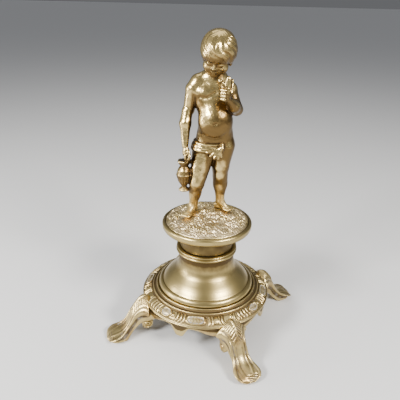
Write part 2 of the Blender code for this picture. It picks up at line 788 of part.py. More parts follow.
def right_arm():
    """The arm that hangs, its fingers hooked over the ewer's neck."""
    fingers = []
    for finger in range(FINGERS):
        y = -8.4 + 1.7 * finger
        bends = [(-18.8, y, 54.0), (-18.6, y, 50.6), (-17.0, y + 0.2, 48.6)]
        fingers.append(chain(0.5, bends, [1.3, 1.2, 1.0]))
    thumb = chain(0.5, [(-16.4, -8.0, 56.8), (-15.2, -9.4, 53.0), (-16.2, -9.2, 50.2)], [1.4, 1.25, 1.0])
    hand = Melted(0.6, Lump((-18.4, -6.0, 56.0), (3.0, 2.6, 4.6)), *fingers, thumb)
    upper = Limb(RIGHT_SHOULDER, RIGHT_ELBOW, 5.5, 4.7)
    lower = chain(1.6, [(-17.8, 2.0, 87.4), (-19.3, -0.8, 78.0), RIGHT_WRIST], [4.5, 4.5, 2.6])
    return Melted(1.2, Melted(1.8, upper, lower), hand)


def left_arm():
    """The folded arm, its fist closed round the bird."""
    fingers = []
    for finger in range(FINGERS):
        z = 101.8 + 2.25 * finger
        bends = [(13.6, -20.2, z - 0.2), (10.6, -22.6, z), (8.2, -21.2, z + 0.2)]
        fingers.append(chain(0.4, bends, [1.25, 1.25, 1.1]))
    thumb = Limb((10.6, -17.0, 104.6), (8.8, -19.2, 108.4), 1.5, 1.2)
    hand = Melted(0.5, Lump((12.4, -18.0, 105.0), (3.4, 3.4, 4.8)), *fingers, thumb)
    arm = Melted(
        2.6,
        Lump(LEFT_SHOULDER, (5.8, 5.8, 5.8)),
        Limb(LEFT_SHOULDER, LEFT_ELBOW, 5.2, 4.9),
        chain(1.6, [LEFT_ELBOW, (18.4, -7.0, 94.0), LEFT_WRIST], [4.9, 4.9, 3.1]))
    return Melted(1.2, arm, hand)


def ewer():
    """A footed ewer with a lobed lip and a handle on the thigh's side."""
    profile = [
        (22.2, 4.4), (23.0, 4.7), (24.0, 3.8), (25.6, 2.2), (27.2, 2.9), (30.6, 5.0), (35.8, 6.5),
        (36.8, 6.4), (40.2, 5.6), (42.6, 4.2), (43.8, 3.4), (45.4, 4.4), (47.6, 5.6), (48.6, 5.4)]
    handle = [(-15.6, -3.4, 47.0), (-13.8, -2.8, 45.4), (-13.4, -2.8, 41.0), (-14.8, -3.2, 37.4)]
    body = Turned(*EWER_PLACE, profile, 5, 0.5)
    return Melted(0.6, body, chain(0.6, handle, [1.1, 1.0, 1.0, 1.0]))


def bird():
    """A small bird held upright, its beak to the chin and its wings and tail above the fist."""
    neck = chain(0.8, [(11.6, -19.0, 109.0), (9.4, -18.8, 112.6), (7.6, -18.6, 114.4)], [1.5, 1.2, 1.1])
    crown = Lump((7.2, -18.8, 114.8), (1.7, 1.7, 1.6))
    body = Melted(0.9, Lump((12.6, -19.4, 107.2), (2.4, 2.6, 4.0)), neck, crown)
    return Melted(
        0.4,
        body,
        Limb((6.4, -19.2, 115.2), (5.0, -18.8, 116.0), 0.8, 0.4),
        Lump((12.8, -19.6, 112.2), (2.3, 1.5, 6.4), turned_axes(0.0, 0.0, 5.0)),
        Limb((15.6, -17.6, 106.0), (16.0, -15.4, 114.6), 1.5, 1.3))


def cloth(body):
    knot = Lump((10.6, -9.2, 60.6), (1.6, 2.0, 3.6))
    tail = chain(1.4, [(10.4, -10.2, 58.6), (9.4, -10.9, 55.8), (7.2, -10.4, 53.4)], [1.7, 2.7, 1.6])
    return Melted(1.1, Wrap(body, (0.0, 2.0, 61.0), 24.0), knot, tail)


def mound():
    """Low ground that swells toward the middle."""
    steps = 9
    edge = MOUND_RADIUS / UNIT
    foot_height = -MOUND_HEIGHT / UNIT
    side = 0.20 * MOUND_HEIGHT / UNIT
    profile = [(foot_height, edge), (foot_height + side, edge)]
    for step in range(1, steps):
        share = step / steps
        rise = (1.0 - (1.0 - share) ** 2) ** 0.8
        height = foot_height + side + (MOUND_HEIGHT / UNIT - side) * rise
        profile.append((height, edge * (1.0 - share)))
    profile.append((0.0, 0.01 * edge))
    return Ground(0.0, 0.0, profile)


def boy_and_mound_form():
    trunk = Melted(2.5, torso(), right_leg(), left_leg())
    body = Melted(1.2, trunk, right_arm(), left_arm())
    dressed = Melted(0.5, Melted(1.5, body, head()), cloth(trunk), ewer(), bird())
    return Melted(1.0, dressed, mound())


def settle(form, points, rounds):
    """Move points onto a form's surface along its slope."""
    probe = 0.05
    for _ in range(rounds):
        here = form.distance(points)
        slope = np.empty_like(points)
        for axis in range(3):
            moved = points.copy()
            moved[:, axis] += probe
            slope[:, axis] = (form.distance(moved) - here) / probe
        length = np.maximum((slope ** 2).sum(axis=1), 0.25)
        points = points - slope * np.clip(here, -1.5, 1.5)[:, None] / length[:, None]
    return points


def reskinned(mesh, voxel):
    """One closed skin over everything in a mesh, by voxels."""
    item = bpy.data.objects.new("skin", mesh)
    bpy.context.scene.collection.objects.link(item)
    remesh = item.modifiers.new("Skin", 'REMESH')
    remesh.mode = 'VOXEL'
    remesh.voxel_size = voxel
    result = baked(item, "skin")
    bpy.data.objects.remove(item, do_unlink=True)
    return result


def boy_and_mound(collection, material):
    form = boy_and_mound_form()
    blank = bmesh.new()
    form.add_blank(blank)
    mesh = bpy.data.meshes.new("blank")
    blank.to_mesh(mesh)
    blank.free()
    mesh = reskinned(mesh, BOY_VOXEL / UNIT)
    count = len(mesh.vertices)
    places = np.empty(count * 3)
    mesh.vertices.foreach_get("co", places)
    places = settle(form, places.reshape(count, 3), 6)
    low = -MOUND_HEIGHT / UNIT
    places[:, 2] = np.where(places[:, 2] < low + 0.25, low, places[:, 2])
    places = places * UNIT + (0.0, 0.0, GROUND)
    mesh.vertices.foreach_set("co", places.ravel())
    item = add_object("boy_and_mound", mesh, collection, material)
    thin = item.modifiers.new("Facets", 'DECIMATE')
    thin.ratio = BOY_FACES / (2.0 * len(mesh.polygons))
    mesh.shade_smooth()
    return item


def build():
    clear_scene()
    parts = new_collection("brass_boy_with_bird")
    cutters = new_collection("cutters")
    polished = brass("polished_brass", (0.72, 0.50, 0.20), 0.22)
    turned = brass("turned_brass", (0.58, 0.47, 0.22), 0.38)
    cast = brass("cast_brass", (0.50, 0.38, 0.19), 0.50)
    boy_and_mound(parts, polished)
    turned_piece("top_plate", plate_profile(), parts, turned)
    turned_piece("bell", bell_profile(), parts, turned)
    footed_ring(parts, cutters, cast)


build()
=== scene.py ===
"""Brass boy with a bird and a ewer: the finished figurine and its stage.

The boy, his head, the bird and the ewer are skins drawn over rounded shapes that melt together.
The ground under him, the plate, the bell and the ring are spun, and the legs are drawn out section
by section. Brass finishes are procedural.
"""
import math

import bmesh
import bpy
import numpy as np
from bpy.props import FloatProperty, FloatVectorProperty, IntProperty, PointerProperty
from mathutils import Matrix, Vector, noise


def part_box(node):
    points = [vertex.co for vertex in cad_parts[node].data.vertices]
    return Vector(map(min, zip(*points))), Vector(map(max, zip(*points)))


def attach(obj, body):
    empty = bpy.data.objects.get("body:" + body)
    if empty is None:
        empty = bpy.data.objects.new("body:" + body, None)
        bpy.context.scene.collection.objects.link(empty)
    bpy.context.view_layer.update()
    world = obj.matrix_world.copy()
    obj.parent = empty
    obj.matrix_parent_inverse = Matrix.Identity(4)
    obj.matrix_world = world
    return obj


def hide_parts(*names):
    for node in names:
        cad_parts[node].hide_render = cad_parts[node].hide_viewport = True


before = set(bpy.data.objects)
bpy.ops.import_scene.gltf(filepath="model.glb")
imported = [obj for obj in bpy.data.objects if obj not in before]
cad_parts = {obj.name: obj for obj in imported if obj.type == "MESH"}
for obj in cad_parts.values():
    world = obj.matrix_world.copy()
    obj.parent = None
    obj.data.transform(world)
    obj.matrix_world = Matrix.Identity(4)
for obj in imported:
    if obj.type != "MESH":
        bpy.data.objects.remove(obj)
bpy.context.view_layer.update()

bl_info = {
    "name": "Brass Boy with Bird",
    "version": (1, 0, 0),
    "blender": (4, 5, 0),
    "location": "View3D > Sidebar > Figurine",
    "description": "Builds a cast brass boy on a turned and footed base, with its finishes and stage",
    "category": "Object",
}

MM = 0.001

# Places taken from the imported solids
RING_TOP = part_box("footed_ring")[1].z
BELL_LOW, BELL_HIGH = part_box("bell")
PLATE_LOW, PLATE_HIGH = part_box("top_plate")


# Properties

def length(name, description, default):
    return FloatProperty(name=name, description=description, default=default, unit='LENGTH')


def angle(name, description, degrees):
    return FloatProperty(name=name, description=description, default=math.radians(degrees), subtype='ANGLE')


def power(name, description, default):
    return FloatProperty(name=name, description=description, default=default, unit='POWER')


def colour(name, description, default):
    return FloatVectorProperty(name=name, description=description, default=default, subtype='COLOR')


class FigureSizes(bpy.types.PropertyGroup):
    boy_height: length("Boy height", "Height of the boy above the ground under him", 0.150)
    ground_height: length("Ground height", "Height of the mound's middle above the table", 0.1103)
    body_step: length("Body step", "Spacing of points on the body's skin", 0.00052)
    head_step: length("Head step", "Spacing of points on the head's skin", 0.00034)
    mound_radius: length("Mound radius", "Radius of the cast ground", 0.0360)
    mound_height: length("Mound height", "Thickness of the cast ground at its middle", 0.0087)
    grass_height: length("Grass height", "Depth of the rough grass on the mound", 0.0018)


class BaseSizes(bpy.types.PropertyGroup):
    plate_radius: length("Plate radius", "Outer radius of the top plate", 0.0392)
    plate_neck_radius: length("Plate neck radius", "Radius of the neck under the plate", 0.0235)
    bell_foot_radius: length("Bell foot radius", "Radius of the bell's foot band", 0.0434)
    bell_neck_radius: length("Bell neck radius", "Radius of the bell below its collar", 0.0247)
    skirt_radius: length("Skirt radius", "Radius of the ring's skirt", 0.0565)
    ring_wall: length("Ring wall", "Thickness of the cast ring", 0.0028)
    pendant_drop: length("Pendant drop", "How far a pendant hangs below the arches beside it", 0.0095)
    relief: length("Frieze relief", "Height of the frieze's carving", 0.0007)
    leg_reach: length("Leg reach", "Distance from the axis to the tip of a toe", 0.0945)
    leg_count: IntProperty(
        name="Legs", description="Number of legs, evenly spaced", default=4, min=3, max=8)
    leg_start: angle("First leg", "Direction of the first leg", 22.5)
    knee_half_width: length("Knee half width", "Half the width of the leaf over a knee", 0.0141)
    toe_half_width: length("Toe half width", "Half the width of a toe", 0.0113)
    toe_drift: length("Toe drift", "How far the toes swing to one side", 0.0025)
    scroll_radius: length("Scroll radius", "Radius of the scroll under a knee", 0.0056)


class Finishes(bpy.types.PropertyGroup):
    gold: colour("Polished gold", "Colour of the rubbed brass of the boy", (0.63, 0.470, 0.190))
    # Bronze is a random deeper tone, and also stands in for painted shade on the boy
    bronze: colour("Bronze", "Deeper tone of the boy's brass", (0.24, 0.155, 0.054))
    # Brown is patina in hollows, and also painted shade on the boy and beneath the plate's rim and the bell's
    # collar
    brown: colour("Brown", "Colour of the darkened brass in the hollows", (0.050, 0.028, 0.012))
    pale_gold: colour("Pale gold", "Rubbed tops of the ground's grass", (0.80, 0.64, 0.38))
    satin: colour("Satin brass", "Colour of the turned plate and the bell", (0.45, 0.345, 0.140))
    cast: colour("Cast brass", "Colour of the ring and its legs", (0.55, 0.425, 0.185))
    rust: colour("Orange tone", "Orange brown shading on the cast ring", (0.38, 0.255, 0.100))
    residue: colour("Residue", "Dried polish left in the carving", (0.46, 0.43, 0.39))
    dust: colour("Ground dust", "Pinkish grey dust in the grass of the mound", (0.42, 0.33, 0.26))


class StageSettings(bpy.types.PropertyGroup):
    focal_length: FloatProperty(
        name="Focal length", description="Lens on a 36 mm sensor, in millimetres", default=40.5)
    camera_distance: length("Camera distance", "Level distance from the figurine's axis", 0.35335)
    camera_height: length("Camera height", "Height of the camera above the table", 0.2788)
    camera_pitch: angle("Camera pitch", "How far the camera looks down", 23.983)
    camera_roll: angle("Camera roll", "How far the camera leans", 1.426)
    frame_shift: FloatProperty(
        name="Frame shift", description="Sideways shift of the frame, as a share of its width",
        default=-0.01905)
    key_power: power("Key power", "Power of each window in front", 15.5)
    fill_power: power("Fill power", "Power of the overhead softbox", 5.0)
    sky: FloatProperty(
        name="Room light", description="Brightness of the room around the stage", default=0.20)


# Smoothly melting shapes

def smooth_step(value, start, end):
    share = np.clip((value - start) / (end - start), 0.0, 1.0)
    return share * share * (3.0 - 2.0 * share)


def linked(name, data):
    """Put a new object with its mesh, light or camera into the scene."""
    item = bpy.data.objects.new(name, data)
    bpy.context.scene.collection.objects.link(item)
    return item


def outward(shape):
    """Turn every face of a closed shape outward."""
    bmesh.ops.recalc_face_normals(shape, faces=shape.faces)


def finished(shape, name):
    """Turn a bmesh into a mesh, and free it."""
    mesh = bpy.data.meshes.new(name)
    shape.to_mesh(mesh)
    shape.free()
    return mesh


def spin_round(shape, parts, steps):
    """Spin points and edges a full turn round the upright axis."""
    bmesh.ops.spin(
        shape, geom=parts, cent=(0.0, 0.0, 0.0), axis=(0.0, 0.0, 1.0),
        angle=2.0 * math.pi, steps=steps, use_merge=True)


def melt(first, second, blend):
    """Distance to two shapes joined, with a fillet as wide as the blend."""
    near = np.maximum(blend - np.abs(first - second), 0.0) / blend
    return np.minimum(first, second) - near ** 3 * blend / 6.0


def turned_axes(nod, turn, tilt):
    """Rows: a shape's own right, back and up after a nod, a turn and a tilt in degrees."""
    nodding = Matrix.Rotation(math.radians(nod), 3, 'X')
    turning = Matrix.Rotation(math.radians(turn), 3, 'Z')
    tilting = Matrix.Rotation(math.radians(tilt), 3, 'Y')
    return np.array((turning @ tilting @ nodding).transposed())


def stood(origin, axes):
    """The matrix that sets a shape in place with its own axes."""
    return Matrix.Translation(Vector(origin)) @ Matrix(axes.T.tolist()).to_4x4()


UPRIGHT = np.identity(3)


class Lump:
    """An ellipsoid."""

    def __init__(self, centre, radii, axes=UPRIGHT):
        self.centre = np.array(centre, float)
        self.radii = np.array(radii, float)
        self.axes = axes
        self.reach = float(self.radii.max())

    def distance(self, points):
        local = (points - self.centre) @ self.axes.T
        first = np.linalg.norm(local / self.radii, axis=1)
        second = np.linalg.norm(local / self.radii ** 2, axis=1)
        return first * (first - 1.0) / np.maximum(second, 1e-9)

    def add_blank(self, shape):
        place = stood(self.centre, self.axes) @ Matrix.Diagonal((*self.radii, 1.0))
        bmesh.ops.create_icosphere(shape, subdivisions=3, radius=1.0, matrix=place)


class Limb:
    """A round-ended rod that tapers from one end to the other."""

    def __init__(self, start, end, start_radius, end_radius):
        self.start = np.array(start, float)
        self.end = np.array(end, float)
        self.radii = (start_radius, end_radius)
        self.centre = (self.start + self.end) / 2.0
        self.reach = float(np.linalg.norm(self.end - self.start) / 2.0 + max(self.radii))

    def distance(self, points):
        axis = self.end - self.start
        share = np.clip((points - self.start) @ axis / (axis @ axis), 0.0, 1.0)
        radius = self.radii[0] + (self.radii[1] - self.radii[0]) * share
        return np.linalg.norm(points - self.start - share[:, None] * axis, axis=1) - radius

    def add_blank(self, shape):
        axis = Vector(self.end - self.start)
        place = Matrix.Translation(Vector(self.centre)) @ axis.to_track_quat('Z', 'Y').to_matrix().to_4x4()
        bmesh.ops.create_cone(
            shape, cap_ends=True, segments=16, radius1=self.radii[0], radius2=self.radii[1],
            depth=axis.length, matrix=place)
        for end, radius in zip((self.start, self.end), self.radii):
            bmesh.ops.create_icosphere(
                shape, subdivisions=2, radius=radius, matrix=Matrix.Translation(Vector(end)))


class Turned:
    """A shape turned round an upright axis, from (height, radius) points."""

    def __init__(self, x, y, profile, lobes=0, lobe_depth=0.0):
        self.axis = np.array((x, y), float)
        self.heights = np.array([height for height, radius in profile], float)
        self.sizes = np.array([radius for height, radius in profile], float)
        self.lobes = lobes
        self.lobe_depth = lobe_depth
        middle = (self.heights[0] + self.heights[-1]) / 2.0
        self.centre = np.array((x, y, middle))
        self.reach = float(np.hypot(self.sizes.max() + lobe_depth, self.heights[-1] - middle))

    def distance(self, points):
        across = points[:, :2] - self.axis
        height = points[:, 2]
        size = np.interp(height, self.heights, self.sizes)
        if self.lobes:
            near_top = smooth_step(height, self.heights[-4], self.heights[-1])
            turn = np.arctan2(across[:, 1], across[:, 0])
            size = size + self.lobe_depth * near_top * np.cos(self.lobes * turn)
        side = (np.hypot(across[:, 0], across[:, 1]) - size) * 0.8
        return np.maximum(side, np.maximum(self.heights[0] - height, height - self.heights[-1]))

    def add_blank(self, shape):
        for low, high, below, above in zip(self.heights, self.heights[1:], self.sizes, self.sizes[1:]):
            place = Matrix.Translation((*self.axis, (low + high) / 2.0))
            bmesh.ops.create_cone(
                shape, cap_ends=True, segments=32, radius1=below, radius2=above,
                depth=high - low, matrix=place)


class Melted:
    """Shapes joined one after another with the same blend."""

    def __init__(self, blend, *shapes):
        self.blend = blend
        self.shapes = shapes
        centres = np.array([shape.centre for shape in shapes])
        self.centre = (centres.min(axis=0) + centres.max(axis=0)) / 2.0
        self.reach = max(float(np.linalg.norm(shape.centre - self.centre)) + shape.reach for shape in shapes)

    def distance(self, points):
        result = self.shapes[0].distance(points)
        for shape in self.shapes[1:]:
            least = np.linalg.norm(points - shape.centre, axis=1) - shape.reach
            near = least < result + self.blend
            if near.any():
                result[near] = melt(result[near], shape.distance(points[near]), self.blend)
        return result

    def add_blank(self, shape):
        for part in self.shapes:
            part.add_blank(shape)


class Reworked:
    """A shape made from another, whose blank it keeps."""

    def __init__(self, base, growth=0.0):
        self.base = base
        self.centre = base.centre
        self.reach = base.reach + growth

    def add_blank(self, shape):
        self.base.add_blank(shape)


class Carved(Reworked):
    """A shape with others pressed out of it, the edges softened."""

    def __init__(self, blend, base, *tools):
        super().__init__(base)
        self.blend = blend
        self.tools = tools

    def distance(self, points):
        result = self.base.distance(points)
        for tool in self.tools:
            result = -melt(-result, tool.distance(points), self.blend)
        return result


# How far outside a shape its raised pattern is still worked out
PATTERN_REACH = 3.0


class Embossed(Reworked):
    """A shape with a shallow pattern raised on it."""

    def __init__(self, base, pattern):
        super().__init__(base, 1.0)
        self.pattern = pattern

    def distance(self, points):
        result = self.base.distance(points)
        near = result < PATTERN_REACH
        if near.any():
            result[near] -= self.pattern(points[near])
        return result


class Placed:
    """A shape modelled round its own origin and set in place with its own axes."""

    def __init__(self, part, origin, axes):
        self.part = part
        self.origin = np.array(origin, float)
        self.axes = axes
        self.centre = self.origin + part.centre @ axes
        self.reach = part.reach

    def distance(self, points):
        return self.part.distance((points - self.origin) @ self.axes.T)

    def add_blank(self, shape):
        own = bmesh.new()
        self.part.add_blank(own)
        bmesh.ops.transform(own, matrix=stood(self.origin, self.axes), verts=own.verts)
        held = finished(own, "held")
        shape.from_mesh(held)
        bpy.data.meshes.remove(held)


class Wrap:
    """A folded cloth over a body between two slanting heights, open at one side."""

    def __init__(self, body, centre, reach):
        self.body = body
        self.centre = np.array(centre, float)
        self.reach = reach

    def distance(self, points):
        x, y, z = points.T
        across = np.clip((x + CLOTH_LEFT) / (CLOTH_LEFT + CLOTH_RIGHT), 0.0, 1.0)
        top = CLOTH_TOP - 3.2 * across * (1.0 - across)
        low = CLOTH_LOW + 0.8 * across
        up = (z - low) / (top - low)
        rolls = CLOTH_FOLDS * up + 0.45 * across + 0.10 * np.sin(0.30 * x + 1.3)
        fold = 0.62 * np.sqrt(np.abs(np.sin(math.pi * rolls))) - 0.2
        fold = fold + 0.10 * np.abs(np.sin(math.pi * (2.0 * rolls + 0.3 * np.sin(0.5 * x))))
        over = self.body.distance(points) - CLOTH_THICKNESS - fold
        front = np.maximum(np.abs(z - (top + low) / 2.0) - (top - low) / 2.0, x - CLOTH_RIGHT)
        band = np.where(y > 5.0, np.maximum(front, x + 9.0), front)
        return -melt(-over, -band, 1.6)

    def add_blank(self, shape):
        pass


def chain(blend, points, radii):
    """Limbs end to end through points."""
    ends = zip(points, points[1:], radii, radii[1:])
    return Melted(blend, *[Limb(a, b, size_a, size_b) for a, b, size_a, size_b in ends])


def both_sides(make):
    """A pair of shapes, one made for each side of the head."""
    return [make(-1.0), make(1.0)]


# Figure places, on a 150 unit scale from the ground under the boy
FIGURE_UNITS = 150.0
HEAD_PLACE = (5.0, -3.6, 131.5)
HEAD_AXES = turned_axes(25.0, -10.0, 7.0)
RIGHT_SHOULDER = (-13.8, 1.8, 104.8)
RIGHT_ELBOW = (-16.6, 3.4, 88.5)
RIGHT_WRIST = (-19.2, -5.0, 61.0)
LEFT_SHOULDER = (15.2, 1.4, 105.4)
LEFT_ELBOW = (21.0, -0.6, 90.2)
LEFT_WRIST = (13.0, -15.4, 101.0)
RIGHT_HIP = (-3.6, 0.5, 57.0)
RIGHT_KNEE = (-9.0, -6.0, 29.5)
RIGHT_ANKLE = (-12.5, 1.2, 6.0)
LEFT_HIP = (12.0, 1.8, 60.0)
LEFT_KNEE = (10.0, 2.3, 34.0)
LEFT_ANKLE = (10.7, 7.4, 8.0)
EWER_PLACE = (-19.9, -4.8)
CLOTH_LEFT = 13.0
CLOTH_RIGHT = 11.5
CLOTH_TOP = 65.2
CLOTH_LOW = 56.6
CLOTH_FOLDS = 2.6
CLOTH_THICKNESS = 0.9
FINGERS = 4
TOES = 5
CAP_CENTRE = np.array((0.0, 2.4, 4.2))
CAP_RADII = np.array((13.3, 15.1, 13.5))
CROWN = np.array((0.0, 0.30, 0.954))
CROWN_BACK = np.array((0.0, 0.954, -0.30))
BODY_HOLLOW = 0.9
HEAD_HOLLOW = 0.5
HAIR_LOCKS = 12
LOCK_DEPTH = 0.6


# Head

def skull():
    cheeks = both_sides(lambda side: Lump((4.9 * side, -6.8, -6.0), (4.5, 4.4, 4.4)))
    return Melted(
        3.6,
        Lump((0.0, 2.0, 3.6), (11.6, 13.2, 11.6)),
        Lump((0.0, -4.4, 3.4), (9.4, 8.4, 7.4)),
        Lump((0.0, -4.0, -5.0), (8.9, 8.5, 8.6)),
        *cheeks,
        Lump((0.0, -7.8, -10.9), (3.6, 3.6, 2.9)))


def features():
    """Lowered lids, soft brows, a short nose and closed lips."""
    lids = both_sides(lambda side: Lump((3.9 * side, -9.7, -1.8), (2.5, 2.1, 1.5)))
    brows = both_sides(lambda side: Limb((2.0 * side, -11.7, 1.2), (6.2 * side, -9.8, 0.8), 0.8, 0.6))
    wings = both_sides(lambda side: Lump((1.15 * side, -12.3, -5.0), (0.85, 0.95, 0.75)))
    lips = both_sides(lambda side: Lump((0.9 * side, -11.8, -7.6), (1.5, 1.1, 0.62)))
    bridge = Limb((0.0, -11.4, -1.0), (0.0, -13.0, -4.5), 0.85, 1.15)
    soft = Melted(1.6, *lids, *brows, bridge, *wings)
    return Melted(0.7, soft, Melted(0.5, *lips, Lump((0.0, -11.6, -8.7), (1.6, 1.1, 0.65))))


def face():
    sockets = both_sides(lambda side: Lump((3.9 * side, -14.2, -1.7), (3.0, 2.3, 1.9)))
    lip_line = Limb((-1.8, -12.6, -8.1), (1.8, -12.6, -8.1), 0.2, 0.2)
    return Carved(0.5, Melted(1.3, Carved(2.6, skull(), *sockets), features()), lip_line)


def lock_relief(points):
    """Broad locks that sweep out from the crown, with finer ones and strands on them."""
    away = (points - CAP_CENTRE) / CAP_RADII
    away = away / np.maximum(np.linalg.norm(away, axis=1), 1e-9)[:, None]
    fall = np.arccos(np.clip(away @ CROWN, -1.0, 1.0))
    turn = np.arctan2(away[:, 0], away @ CROWN_BACK)
    sweep = turn + 0.30 * fall ** 2 + 0.14 * np.sin(3.0 * fall + 2.0 * turn)
    waves = 1.1 * np.sin(2.4 * fall + 1.7 * turn) + 0.6 * np.sin(4.3 * fall - 2.6 * turn)
    phase = 0.5 * HAIR_LOCKS * sweep + waves
    ridge = np.abs(np.cos(phase))
    finer = np.abs(np.cos(2.3 * phase + 1.3 * np.sin(3.1 * fall)))
    strand = np.cos(9.0 * phase + 2.0 * np.sin(2.0 * fall + turn))
    spread = smooth_step(fall, 0.15, 0.90)
    top = smooth_step(fall, 0.05, 0.30)
    return LOCK_DEPTH * spread * (ridge - 0.6) + 0.12 * spread * (finer - 0.6) + 0.03 * top * strand


def hair():
    """A cap of hair to the ears, open over the face under a fringe of locks."""
    sides = both_sides(lambda side: Lump((9.7 * side, 4.0, 0.2), (3.6, 8.2, 6.2)))
    cap = Melted(3.2, Lump(CAP_CENTRE, CAP_RADII), *sides, Lump((0.0, 10.0, -4.6), (10.2, 5.6, 8.8)))
    fringe = Embossed(Lump((0.0, -13.4, -9.0), (10.4, 9.4, 10.2)), fringe_tips)
    return Carved(1.0, Embossed(cap, lock_relief), fringe)


def fringe_tips(points):
    return 0.6 * np.abs(np.cos(0.58 * points[:, 0] + 0.6))


def ears():
    return both_sides(lambda side: Lump((10.0 * side, 0.4, -4.8), (1.6, 2.4, 3.2)))


def head_form():
    head = Melted(0.5, Melted(0.8, face(), *ears()), hair())
    neck = Limb((3.8, 4.0, 109.0), (3.8, 1.8, 121.5), 7.8, 6.3)
    return Melted(1.2, Placed(head, HEAD_PLACE, HEAD_AXES), neck)


# Body

def torso():
    breasts = [
        Lump((-4.0, -2.0, 103.6), (7.6, 4.2, 5.2), turned_axes(0.0, 0.0, -14.0)),
        Lump((9.6, -1.8, 102.8), (7.2, 4.2, 5.4), turned_axes(0.0, 0.0, 14.0))]
    trunk = Melted(
        7.5,
        Lump((2.4, 1.8, 96.5), (15.0, 9.0, 14.0)),
        Lump((4.6, -2.6, 80.8), (13.9, 11.0, 14.6)),
        Lump((4.6, 0.6, 71.5), (13.4, 8.6, 8.0)),
        Lump((4.5, 1.4, 64.0), (15.4, 10.4, 12.0)))
    seat = Melted(
        4.0,
        Melted(4.6, trunk, *breasts),
        Lump((-2.8, 7.2, 58.0), (8.6, 7.0, 8.8)),
        Lump((10.8, 7.6, 58.8), (8.6, 7.0, 8.8)))
    nape = [RIGHT_SHOULDER, (-9.4, 3.4, 110.2), (-1.0, 4.2, 113.0), (4.8, 4.2, 112.4), (14.0, 2.4, 107.2)]
    shoulders = chain(5.0, nape, [5.7, 5.6, 6.4, 7.4, 4.8])
    neck = Limb((3.8, 4.2, 107.0), (3.8, 1.8, 121.5), 8.2, 6.3)
    spine = chain(1.5, [(4.4, 11.4, 102.0), (3.9, 10.8, 86.0), (4.0, 12.2, 71.0)], [0.9, 1.1, 0.7])
    cleft = chain(1.0, [(4.0, 14.8, 64.0), (4.0, 15.6, 56.0), (4.0, 12.0, 49.0)], [0.5, 0.9, 0.9])
    return Embossed(Carved(1.4, Melted(6.0, seat, shoulders, neck), spine, cleft), front_folds)


def stroke(points, places, width):
    """How near points come, seen from the front, to a line through places: 1 on it, 0 past its width."""
    seen = points[:, [0, 2]]
    nearest = np.full(len(points), np.inf)
    for start, end in zip(places, places[1:]):
        start = np.array(start)
        way = np.array(end) - start
        share = np.clip((seen - start) @ way / (way @ way), 0.0, 1.0)
        nearest = np.minimum(nearest, np.linalg.norm(seen - start - share[:, None] * way, axis=1))
    return 1.0 - smooth_step(nearest, 0.0, width)


def front_folds(points):
    """The folds under the chest and under the belly, and the navel, pressed into the front."""
    chest = stroke(points, [(-7.6, 100.4), (-4.6, 99.5), (-2.0, 99.8), (1.4, 102.0), (4.4, 103.6)], 2.4)
    belly = stroke(points, [(-4.0, 71.4), (-1.0, 69.8), (4.6, 68.8), (9.6, 70.0), (12.4, 72.2)], 1.9)
    navel = stroke(points, [(4.2, 81.0), (4.8, 81.2)], 1.9)
    facing = smooth_step(-points[:, 1], 1.0, 4.0)
    return -facing * (0.50 * chest + 0.45 * belly + 0.80 * navel)


def foot(ankle, heel, ball):
    """A foot from heel to ball, with its toes fanned across the way it points."""
    heel = np.array(heel, float)
    ball = np.array(ball, float)
    way = (ball - heel) * (1.0, 1.0, 0.0)
    way = way / np.linalg.norm(way)
    side = np.array((-way[1], way[0], 0.0))
    toes = []
    for toe in range(TOES):
        step = toe - (TOES - 1) / 2.0
        root = ball + 1.65 * step * side
        tip = root + (4.2 - 0.18 * step ** 2) * way - np.array((0.0, 0.0, 0.2))
        toes.append(Limb(root, tip, 1.15, 1.05))
    instep = Melted(
        2.0,
        Lump(heel, (2.8, 2.8, 2.8)),
        Limb(ankle, ball, 3.4, 2.2),
        Limb(heel, ball, 2.8, 2.4),
        Lump(ball, (3.9, 3.4, 2.0)))
    return Melted(0.6, instep, *toes)


def right_leg():
    return Melted(
        3.6,
        Limb(RIGHT_HIP, RIGHT_KNEE, 10.2, 6.3),
        Limb((-9.8, -4.2, 26.0), RIGHT_ANKLE, 5.8, 3.4),
        Lump((-10.7, -0.6, 20.5), (5.2, 5.4, 8.0)),
        Lump((-9.3, -8.4, 30.4), (3.8, 3.2, 4.0)),
        foot(RIGHT_ANKLE, (-11.4, 4.4, 2.2), (-17.0, -7.6, 1.2)))


def left_leg():
    return Melted(
        3.6,
        chain(2.0, [LEFT_HIP, (10.1, 1.6, 42.0), LEFT_KNEE], [9.4, 7.2, 6.4]),
        Limb((10.2, 3.2, 30.0), LEFT_ANKLE, 6.0, 3.5),
        Lump((10.4, 5.6, 25.5), (6.2, 5.6, 8.4)),
        Lump((9.8, -1.8, 34.8), (3.8, 3.2, 4.0)),
        foot(LEFT_ANKLE, (8.4, 11.2, 2.4), (16.6, 5.4, 1.6)))


def right_arm():
    """The arm that hangs, its fingers hooked over the ewer's neck."""
    fingers = []
    for finger in range(FINGERS):
        y = -8.4 + 1.7 * finger
        bends = [(-18.8, y, 54.0), (-18.6, y, 50.6), (-17.0, y + 0.2, 48.6)]
        fingers.append(chain(0.5, bends, [1.3, 1.2, 1.0]))
    thumb = chain(0.5, [(-16.4, -8.0, 56.8), (-15.2, -9.4, 53.0), (-16.2, -9.2, 50.2)], [1.4, 1.25, 1.0])
    hand = Melted(0.6, Lump((-18.4, -6.0, 56.0), (3.0, 2.6, 4.6)), *fingers, thumb)
    upper = Limb(RIGHT_SHOULDER, RIGHT_ELBOW, 5.5, 4.7)
    lower = chain(3.4, [(-17.8, 2.0, 87.4), (-19.3, -0.8, 78.0), RIGHT_WRIST], [4.5, 4.5, 2.6])
    return Melted(1.2, Melted(1.8, upper, lower), hand)


